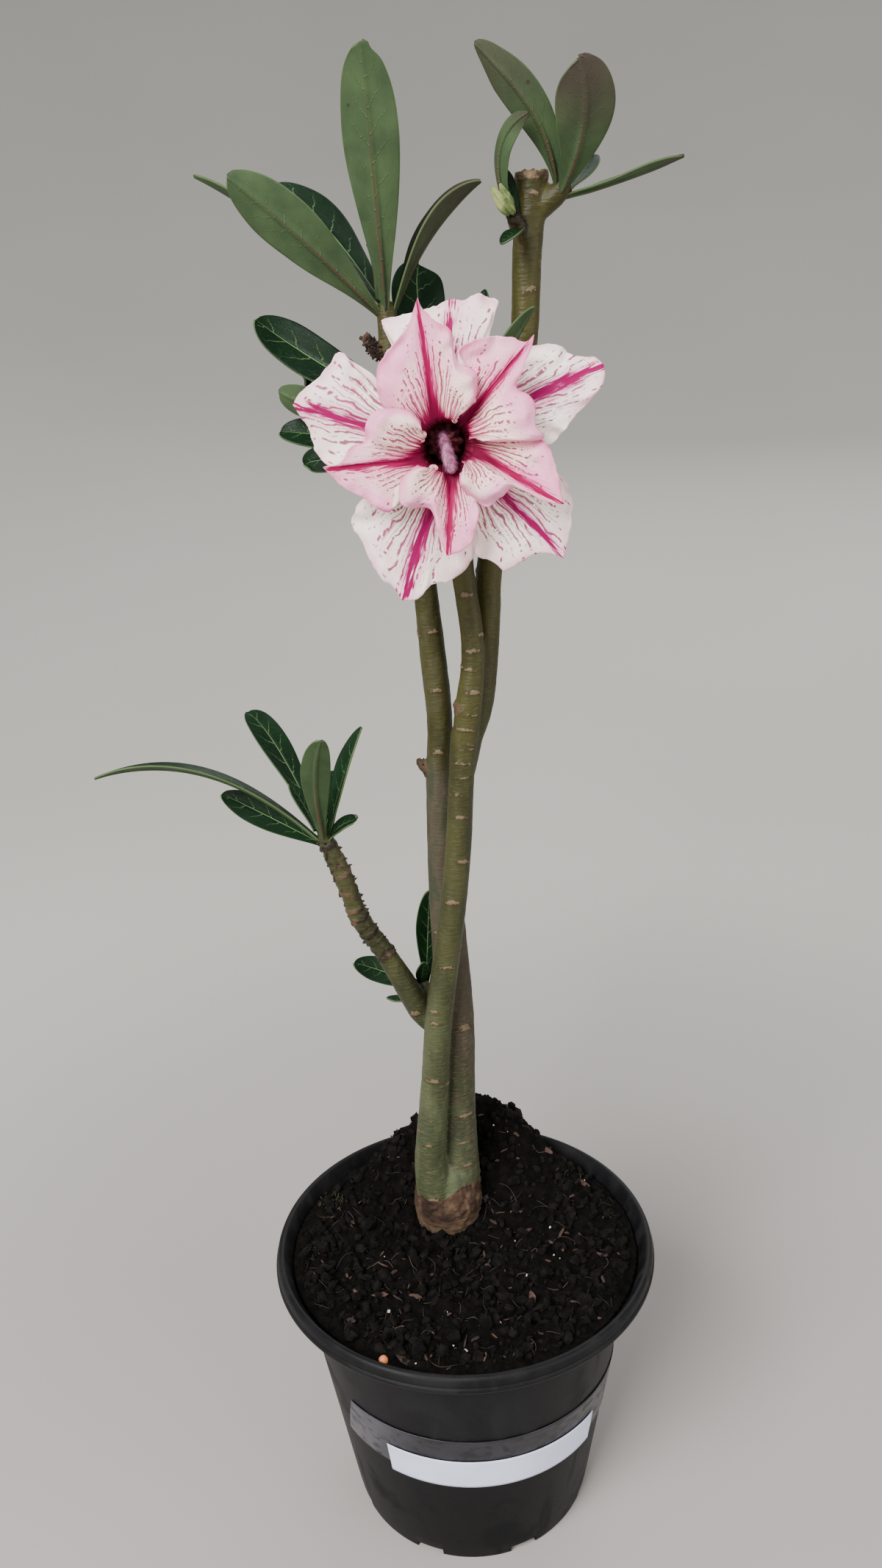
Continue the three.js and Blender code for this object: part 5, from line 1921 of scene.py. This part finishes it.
@dataclass
class Flower:
    """The double flower: two corollas, the plume of the anthers, and the calyx on its stalk."""

    x: float = 4.0
    y: float = -30.0
    z: float = 427.7
    hairs: int = 1500
    cup_bottom: float = -28.3
    sepals: int = 5
    ears: tuple[Point, ...] = (
        (2.6, 8.1, 1.5), (-7.4, 3.2, 1.9), (9.4, 3.6, 1.9), (6.4, -5.6, 1.5), (-4.2, -6.4, 1.5),
    )
    seed: int = 21
    plume: list[Point] = field(
        default_factory=lambda: [
            (0, -0.5, -25, 3.0), (-0.6, 1, -16, 2.6), (-1.1, 3.4, -7, 2.8), (-0.2, -0.6, -0.6, 3.3),
            (0.8, -4.6, 2.4, 3.9), (1.3, -7.0, 3.4, 3.0),
        ]
    )

    def point(self, right: float, up: float, front: float) -> Vector:
        """A point of the flower in the frame of the plant."""
        return Vector((self.x + right, self.y - front, self.z + up))

    def outer(self) -> Corolla:
        """The outer corolla: five broad cream petals that lean back."""
        lobes = [
            Lobe(92, 132, 62, (3, 41.5, -4.5),
                 [(-1, 40, -4.8), (-4.5, 39, -5), (-10, 38, -5.5), (-15, 37, -6.5), (-18, 36.5, -7),
                  (-16.5, 33, -6.5), (-14.5, 28.5, -5), (-10.5, 19, -2)],
                 [(6.5, 41, -4.2), (10.5, 42.5, -4), (13, 41.5, -4), (16.5, 40.5, -3.6), (15.5, 37, -3),
                  (14, 31, -2.2), (11, 19.5, -1.5)]),
            Lobe(32, 62, -3, (48, 21.5, -5.5),
                 [(45.5, 23.5, -6), (40.5, 24, -6), (38, 25, -6.3), (34.5, 27.5, -6.5), (27, 27.5, -6),
                  (21, 25.5, -4.5), (13, 16.5, -2)],
                 [(48.5, 19, -5.2), (47.5, 15, -4.8), (44, 11, -4), (39.5, 7, -3.5), (35.5, 2.5, -3),
                  (31.5, -1, -2.5), (21.5, 0, -1.5)]),
            Lobe(-38, -3, -70, (36, -36, -5.5),
                 [(37.5, -30, -6), (38.5, -24, -6.5), (38.5, -18, -6.5), (37, -13.5, -6), (33.5, -9.5, -5),
                  (24.5, -4, -2)],
                 [(32.5, -34.5, -5), (28, -34, -4.6), (23.5, -35.5, -4.4), (20, -37.5, -4.2), (17, -39, -4),
                  (13.5, -36, -3.6), (8, -33.5, -3.2), (8.5, -27.5, -2.6), (7, -18, -1.6)]),
            Lobe(-102, -70, -145, (-16, -47, -5.4),
                 [(-12.5, -47.5, -5.8), (-9, -45.5, -6), (-8, -44, -6), (-5, -42, -6.2), (-1.5, -42.5, -6.4),
                  (2.5, -40, -6.4), (6, -37, -6.2), (8, -31, -5.5), (8.5, -25.5, -4.5), (8, -18.5, -2.5)],
                 [(-18.5, -42.5, -5), (-22, -40, -4.6), (-25, -34.5, -4.2), (-28, -27, -3.6),
                  (-30.5, -22.5, -3.2), (-29, -19, -2.8), (-26.5, -15, -2.4), (-14.5, -10.5, -1.6)]),
            Lobe(172, 215, 132, (-46, 13.5, -5.2),
                 [(-44, 10, -5.8), (-42, 7, -6), (-41, 2.5, -6.2), (-39.5, -2, -6), (-35, -5.5, -5.5),
                  (-28.5, -6, -4.5), (-14.5, -7.5, -2)],
                 [(-43.5, 17, -4.8), (-38, 21, -4.2), (-34.5, 24, -4), (-31, 28, -3.8), (-27, 25, -3.2),
                  (-22.5, 22, -2.6), (-18.5, 18, -2), (-11, 11, -1.4)]),
        ]
        bore = [(9.4, -1.2), (8.6, -5), (7.4, -12), (5.6, -20), (3.4, -26), (2.6, -27.5)]
        return Corolla(
            "outer_petals", "outer_corolla", "outer_petal", lobes, bore, -1.2, -0.6, 0.2, 1.2, self.seed
        )

    def inner(self) -> Corolla:
        """The inner corolla: five pink petals that stand forward, each with one rolled side."""
        lobes = [
            Lobe(114, 158, 73, (-7, 41, 8.4),
                 [(-8.5, 37.5, 7.6), (-10, 34, 7), (-14.5, 29, 6.4), (-18.5, 24.5, 5.8), (-20, 20, 5),
                  (-19, 12.5, 3.5), (-15, 10.5, 2)],
                 [(-5.5, 38, 8.2), (-1.5, 34.5, 8), (2.5, 32, 7.8), (3, 27, 8.2), (4.5, 23, 9), (9, 21, 9.6),
                  (9.5, 15.5, 9), (8, 11.5, 6.5)], 2.6),
            Lobe(53, 73, 20, (26, 30, 8.4),
                 [(23.5, 28, 7.8), (20, 29.5, 7.4), (14.5, 30, 6.8), (8.5, 29, 6), (4.5, 26.5, 5), (7, 21, 4),
                  (9, 12.5, 2.5)],
                 [(25.5, 27, 8.4), (22, 19, 8.6), (21, 15.5, 8.8), (24.5, 13.5, 9.2), (26.5, 10, 9.4),
                  (26, 5.5, 9.2), (29, 1, 8.6), (21, 0.5, 8.2), (13.5, 0.5, 6.5)], 2.8),
            Lobe(-12, 20, -40, (34.5, -18, 8.2),
                 [(33.5, -13.5, 7.6), (32.5, -8.5, 7), (31, -3, 6.6), (28, 1, 5.8), (22.5, 1.5, 4.5),
                  (14, 2, 2.5)],
                 [(31, -17.5, 8.4), (25, -15, 8.6), (19.5, -12.5, 9), (16, -15, 9.4), (11.5, -18, 9.4),
                  (7, -15.5, 9.2), (3.5, -11.5, 8.4), (3.5, -8, 6.5)], 2.8),
            Lobe(-80, -40, -122, (-1, -32, 8.2),
                 [(2, -31, 7.6), (5, -29.5, 7.2), (7, -27, 7), (8, -23, 6.8), (9, -19, 6), (6.5, -15, 4.5),
                  (4, -10.5, 2.5)],
                 [(-2, -30, 8.2), (-4, -24, 8.4), (-5, -19, 8.8), (-7, -17.5, 9), (-10.5, -17.5, 9.4),
                  (-14, -16.5, 9.4), (-15, -12.5, 9), (-13.5, -8, 8.2), (-9, -5, 6.5)], 2.6),
            Lobe(-151, -122, -202, (-37, -4.5, 8.2),
                 [(-34, -8, 7.6), (-29, -12, 7.2), (-25.5, -14, 7), (-22, -16.5, 6.6), (-18, -18.5, 6),
                  (-16, -12.5, 5), (-14, -9.5, 4), (-10, -7, 2.5)],
                 [(-32, -3.5, 8), (-28.5, 1, 8), (-24.5, 2.5, 8.2), (-23.5, 8, 8.8), (-20.5, 11, 9.2),
                  (-15, 11.5, 9), (-10.5, 10.5, 8.4), (-7.5, 7.5, 6.5)], 2.6),
        ]
        bore = [(7.6, 0.6), (7.2, -2), (6.8, -5), (6.2, -9), (5.8, -11)]
        return Corolla(
            "inner_petals", "inner_corolla", "inner_petal", lobes, bore, 1.2, 1.6, 1.4, 1.3, self.seed + 1
        )

    def build(self, palette: Palette) -> None:
        """Makes the flower."""
        self._corolla(self.outer(), palette.outer_petal, palette.petal_back)
        self._corolla(self.inner(), palette.inner_petal, palette.petal_back)
        self._throat_curls(palette)
        self._plume(palette)
        self._calyx(palette)

    def _corolla(self, corolla: Corolla, finish: Material, back: Material) -> None:
        """Makes one whorl, from the bottom of its funnel to the margins of its petals."""
        whole = bmesh.new()
        whole.loops.layers.uv.new(UV_NAME)
        for mark in ("seed", "gullet"):
            whole.verts.layers.float.new(mark)
        bore = Route([(radius, front, 0, 0) for radius, front in corolla.bore])
        for i, lobe in enumerate(corolla.lobes):
            sheet = bmesh.new()
            total = corolla.throat_rows + corolla.rows
            grid = sheet_grid(sheet, corolla.columns, total, ("seed", "gullet"))
            seeds = sheet.verts.layers.float["seed"]
            gullet = sheet.verts.layers.float["gullet"]
            sides = (Route([lobe.tip, *lobe.left]), Route([lobe.tip, *lobe.right]))
            border = corolla.throat_rows / total
            for vert, side, share in grid:
                vert[seeds] = corolla.seed + i * 7.3
                end = lobe.right_root if side > 0 else lobe.left_root
                angle = math.radians(lerp(lobe.root, end, abs(side)))
                if share < border - 1e-6:
                    ring = bore.at(1 - share / border)
                    vert.co = self.point(ring[0] * math.cos(angle), ring[0] * math.sin(angle), ring[1])
                    vert[gullet] = 1
                    continue
                vert[gullet] = 1 if share < border + 1e-6 else 0
                reach = clamp((share - border) / (1 - border))
                vert.co = self._limb_point(corolla, lobe, sides, side, reach, angle, i)
            layer = sheet.loops.layers.uv[UV_NAME]
            for face in sheet.faces:
                for loop in face.loops:
                    loop[layer].uv.y = max(0.0, (loop[layer].uv.y - border) / (1 - border))
            pour(sheet, whole)
        tube = [vert for vert in whole.verts if vert[whole.verts.layers.float["gullet"]] > 0.5]
        bmesh.ops.remove_doubles(whole, verts=tube, dist=0.02)
        petals = finish_mesh(whole, corolla.name, [finish, back])
        thicken(petals, corolla.thick, 1)
        seat(petals, corolla.slot, corolla.node)

    def _limb_point(
        self,
        corolla: Corolla,
        lobe: Lobe,
        sides: tuple[Route, Route],
        side: float,
        reach: float,
        angle: float,
        i: int,
    ) -> Vector:
        """A point of a petal's limb.

        Args:
            corolla: The whorl.
            lobe: The petal.
            sides: Its margin, to the left and to the right of its tip.
            side: From -1 on its left to 1 on its right.
            reach: From 0 at the throat to 1 at the margin.
            angle: Where this line leaves the throat, in radians.
            i: The petal's number.

        Returns:
            The point in the frame of the plant.
        """
        radius, front = corolla.bore[0][0] + 0.1, corolla.front
        start = Vector((radius * math.cos(angle), radius * math.sin(angle), front))
        margin = sides[1 if side > 0 else 0].at(abs(side))
        frayed = noise.noise(Vector((margin.x * 0.45, margin.y * 0.45, i * 3.1)))
        fine = noise.noise(Vector((margin.x * 1.7, margin.y * 1.7, i * 5.7)))
        stretch = 1 + (0.010 * frayed + 0.010 * fine) * smooth(abs(side), 0.02, 0.12)
        outer = Vector((margin.x * stretch, margin.y * stretch, margin.z))
        spot = start.lerp(outer, reach)
        rise = reach**0.8 if corolla.swell > 0 else reach**1.7
        depth = lerp(start.z, outer.z, rise)
        depth += corolla.swell * 4 * reach * (1 - reach) * 0.5
        roll = smooth(side, 0.15, 0.8) * lobe.lip * 1.3
        depth += roll * max(0.0, math.sin(math.pi * reach)) ** 0.8
        depth -= corolla.curl * smooth(side, 0.1, 0.6) * smooth(reach, 0.82, 1.0) * 1.6
        phase = noise.noise(Vector((spot.x * 0.11, spot.y * 0.11, corolla.seed + i)))
        wave = math.sin(abs(side) * 11 + 2 * i + 4 * phase) * smooth(reach, 0.35, 1.0)
        depth += corolla.ruffle * wave * smooth(abs(side), 0.1, 0.45)
        frill = math.sin(abs(side) * 29 + 3 * i + 7 * phase) * smooth(reach, 0.7, 1.0)
        depth += 0.5 * frill * smooth(abs(side), 0.06, 0.3)
        depth += 0.8 * phase * reach
        rolled = bump(reach, 0.13, 0.1) * smooth(side, 0.1, 0.6) * lobe.lip
        spot = Vector((spot.x, spot.y, 0)) * (1 - 0.07 * rolled)
        depth += 0.5 * rolled
        crease = -0.7 * bump(side, 0, 0.09) * smooth(reach, 0.05, 0.3) * smooth(1 - reach, 0, 0.25)
        return self.point(spot.x, spot.y, depth + crease)

    def _throat_curls(self, palette: Palette) -> None:
        """The small curled ears between the petals, at the edge of the throat."""
        bm = bmesh.new()
        bm.loops.layers.uv.new(UV_NAME)
        draw = random.Random(self.seed + 4)
        for right, up, size in self.ears:
            points = []
            for i in range(9):
                angle = math.radians(draw.uniform(-8, 8) + i * 36)
                x, y = right + size * 0.5 * math.cos(angle), up + size * 0.62 * math.sin(angle)
                spot = self.point(x, y, 5.2 + 0.6 * math.sin(2 * angle))
                points.append((*spot, 1.15 + 0.35 * math.sin(3 * angle)))
            sweep_tube(bm, Route(points), 8, 0.45, True)
        closed_out(bm)
        seat(finish_mesh(bm, "throat_curls", [palette.curl]), "inner_petal")

    def _plume(self, palette: Palette) -> None:
        """The soft plume: a slim core under fine hairs that lie along it."""
        route = Route([(*self.point(right, up, front), width) for right, up, front, width in self.plume])
        bm = bmesh.new()
        sweep_tube(bm, route, 12, 0.8, True)
        closed_out(bm)
        for vert in bm.verts:
            vert.co += vert.normal * 0.12 * rough(vert.co, 0.9, 2)
        draw = random.Random(self.seed + 2)
        for _ in range(self.hairs):
            share = draw.uniform(0.3, 0.99)
            spot = route.at(share)
            way = route.heading(share)
            side = Vector((draw.gauss(0, 1), draw.gauss(0, 1), draw.gauss(0, 1)))
            side = (side - way * side.dot(way)).normalized()
            foot = Vector(spot[:3]) + side * spot[3] * 0.42
            length = draw.uniform(1.0, 2.4)
            tip = foot + (way * 0.9 + side * draw.uniform(0.25, 0.95)).normalized() * length
            across = way.cross(side).normalized() * 0.07
            corners = (foot - across, foot + across, foot + side * 0.1, tip)
            a, b, c, d = (bm.verts.new(corner) for corner in corners)
            for face in ((a, b, d), (b, c, d), (c, a, d), (a, c, b)):
                bm.faces.new(face)
        bmesh.ops.recalc_face_normals(bm, faces=bm.faces)
        seat(finish_mesh(bm, "anther_hairs", [palette.plume]), "anther", "anther_plume")
        cone = bmesh.new()
        section = [(0, -11), (6.2, -11), (5.0, -8.6), (3.2, -6), (1.9, -4), (1.3, -2.6), (0, -2.2)]
        spin_profile(cone, section, 60)
        for vert in cone.verts:
            angle = math.atan2(vert.co.y, vert.co.x)
            vert.co.x *= 1 + 0.13 * math.cos(10 * angle)
            vert.co.y *= 1 + 0.13 * math.cos(10 * angle)
        bmesh.ops.rotate(cone, cent=(0, 0, 0), matrix=FORWARD, verts=cone.verts)
        bmesh.ops.translate(cone, vec=(self.x - 0.6, self.y, self.z + 1.0), verts=cone.verts)
        seat(finish_mesh(cone, "anther_cone", [palette.anther]), "anther")

    def _calyx(self, palette: Palette) -> None:
        """The cup and sepals behind the flower, and the stalk that carries it."""
        bm = bmesh.new()
        bottom = self.cup_bottom
        cup = [
            (0, bottom - 1.0), (2.6, bottom - 0.8), (4.4, bottom + 0.6), (5.4, bottom + 2.6),
            (5.9, bottom + 5), (5.2, bottom + 5), (4.6, bottom + 1.8), (3.6, bottom + 0.2), (0, bottom),
        ]
        spin_profile(bm, cup, 48)
        bmesh.ops.rotate(bm, cent=(0, 0, 0), matrix=FORWARD, verts=bm.verts)
        bmesh.ops.translate(bm, vec=(self.x, self.y, self.z), verts=bm.verts)
        stalk = [
            (*self.point(0, 0, bottom - 0.4), 3.6),
            (self.x, 1.6, self.z + 0.4, 3.4),
            (self.x, 9, self.z + 1.6, 3.8),
        ]
        sweep_tube(bm, Route(stalk), 20, 1.0, False)
        for i in range(self.sepals):
            angle = (i + 0.5) / self.sepals * math.tau
            points = []
            for share in (0, 0.3, 0.6, 0.85, 1):
                out = 5.0 + share * 2.4
                front = bottom + 3.4 + share * 9
                width = 3.2 * (1 - share**2) + 0.5
                points.append((*self.point(out * math.cos(angle), out * math.sin(angle), front), width))
            leafy = bmesh.new()
            sweep_tube(leafy, Route(points), 12, 0.7, True)
            axis = Vector((math.cos(angle), 0, math.sin(angle)))
            for vert in leafy.verts:
                nearest = min(points, key=lambda item: (Vector(item[:3]) - vert.co).length)
                away = (vert.co - Vector(nearest[:3])).dot(axis)
                vert.co -= axis * away * 0.6
            pour(leafy, bm)
        bmesh.ops.recalc_face_normals(bm, faces=bm.faces)
        seat(finish_mesh(bm, "calyx_and_stalk", [palette.calyx]), "green_bud", "calyx")


@dataclass
class Buds:
    """The three pointed buds on the short shoot, each furled in a spiral."""

    buds: list[tuple[Point, Point, float]] = field(
        default_factory=lambda: [
            ((27, 8.6, 495.6), (21.2, 4, 502.9), 4.2),
            ((27.8, 8.6, 496.4), (24.2, 4.6, 503.4), 3.6),
            ((28.2, 8.4, 495.8), (25.4, 3.4, 499.4), 3.0),
        ]
    )

    def build(self, palette: Palette) -> None:
        """Makes the buds."""
        bm = bmesh.new()
        for root, tip, width in self.buds:
            foot, end = Vector(root), Vector(tip)
            shares = ((0, 0.45), (0.15, 0.8), (0.35, 1.0), (0.6, 0.8), (0.85, 0.42), (1, 0.18))
            route = Route([(*foot.lerp(end, share), width * wide) for share, wide in shares])
            bud = bmesh.new()
            sweep_tube(bud, route, 30, 0.35, True)
            bud.normal_update()
            way = (end - foot).normalized()
            side = way.orthogonal()
            other = way.cross(side)
            for vert in bud.verts:
                offset = vert.co - foot
                share = offset.dot(way) / (end - foot).length
                angle = math.atan2(offset.dot(other), offset.dot(side))
                vert.co += vert.normal * 0.2 * math.sin(5 * angle + 5 * share)
            pour(bud, bm)
        bmesh.ops.recalc_face_normals(bm, faces=bm.faces)
        seat(finish_mesh(bm, "furled_buds", [palette.bud]), "green_bud", "flower_buds")


# ---- Studio ----------------------------------------------------------------------------------


@dataclass
class Studio:
    """The pale floor, the soft lights and the camera at the photograph's viewing angle."""

    camera_place: tuple[float, float, float] = (-0.0019, -0.400, 0.442)
    pitch: float = 18.22
    roll: float = 2.36
    focal_pixels: float = 1603.0
    long_side: float = 2134.0
    sensor: float = 36.0
    sky: float = 0.78

    def build(self) -> None:
        """Makes all of it."""
        self._floor()
        self._lights()
        self._camera()

    def _camera(self) -> None:
        """The camera looks along +Y, down by its pitch and rolled a little."""
        data = bpy.data.cameras.new("camera")
        data.sensor_width = self.sensor
        data.lens = self.focal_pixels / self.long_side * self.sensor
        data.clip_start = 0.01
        data.clip_end = 50
        camera = bpy.data.objects.new("camera", data)
        aim = Matrix.Rotation(math.radians(90 - self.pitch), 4, "X")
        camera.matrix_world = (
            Matrix.Translation(self.camera_place) @ aim @ Matrix.Rotation(math.radians(-self.roll), 4, "Z")
        )
        bpy.context.scene.collection.objects.link(camera)
        bpy.context.scene.camera = camera

    def _floor(self) -> None:
        """A pale floor that rises in one sweep to an open wall all round."""
        bm = bmesh.new()
        profile = [(0, 0), (450, 0), (900, 0)]
        for step in range(1, 29):
            out = step * 130
            profile.append((900 + out, 0.0002 * out**2))
        spin_profile(bm, profile, 96)
        bmesh.ops.reverse_faces(bm, faces=[face for face in bm.faces if face.normal.z < 0])
        recipe = Finish("studio_floor")
        place = recipe.place()
        tone = recipe.blend(recipe.noise(place, 1.6, 3.0), paint(184, 181, 174), paint(194, 191, 185))
        away = recipe.add("ShaderNodeVectorMath", {0: place}, "Value", operation="LENGTH")
        # Painted shade: the floor turns greyer within 0.7 m of the middle, fully so within 0.2 m, round the
        # pot's foot.
        tone = recipe.blend(away.spread(0.7, 0.2), tone, paint(163, 158, 154))
        finish_mesh(bm, "floor", [recipe.done(tone, 0.9, 0.1)])

    def _lights(self) -> None:
        """A soft key light from the upper left in front, a fill at the right and a low sky."""
        rules = (
            ("key", (-0.8, -1.2, 1.35), 0.95, 72),
            ("fill", (1.3, -0.9, 0.8), 1.2, 14),
            ("back", (0.5, 1.5, 1.3), 1.4, 12),
        )
        for name, place, size, power in rules:
            data = bpy.data.lights.new(name, "AREA")
            data.size = size
            data.energy = power
            light = bpy.data.objects.new(name, data)
            light.location = place
            aim = Vector((0, 0, 0.3)) - Vector(place)
            light.rotation_euler = aim.to_track_quat("-Z", "Y").to_euler()
            bpy.context.scene.collection.objects.link(light)
        world = bpy.data.worlds.new("sky")
        world.use_nodes = True
        background = world.node_tree.nodes["Background"]
        background.inputs["Color"].default_value = paint(226, 228, 230)
        background.inputs["Strength"].default_value = self.sky
        bpy.context.scene.world = world


def main() -> None:
    """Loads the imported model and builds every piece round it."""
    logging.basicConfig(level=logging.INFO, format="%(message)s")
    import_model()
    palette = Palette()
    Studio().build()
    pot = Pot()
    pot.build(palette)
    Wrap("clear_tape_strip", "tape", "clear_tape", -143, 42, 51.8, 73.8, -10, 0.35, 0.12, 8, 0.18).build(
        pot, palette.tape
    )
    Wrap("paper_label", "label", "label_paper", -123, -37, 47.6, 62.6, -3.4, 0.95, 0.18, 0, 0.12).build(
        pot, palette.label
    )
    Soil().build(palette)
    Stems().build(palette)
    Foliage().build(palette)
    Flower().build(palette)
    Buds().build(palette)


if __name__ == "__main__":
    main()
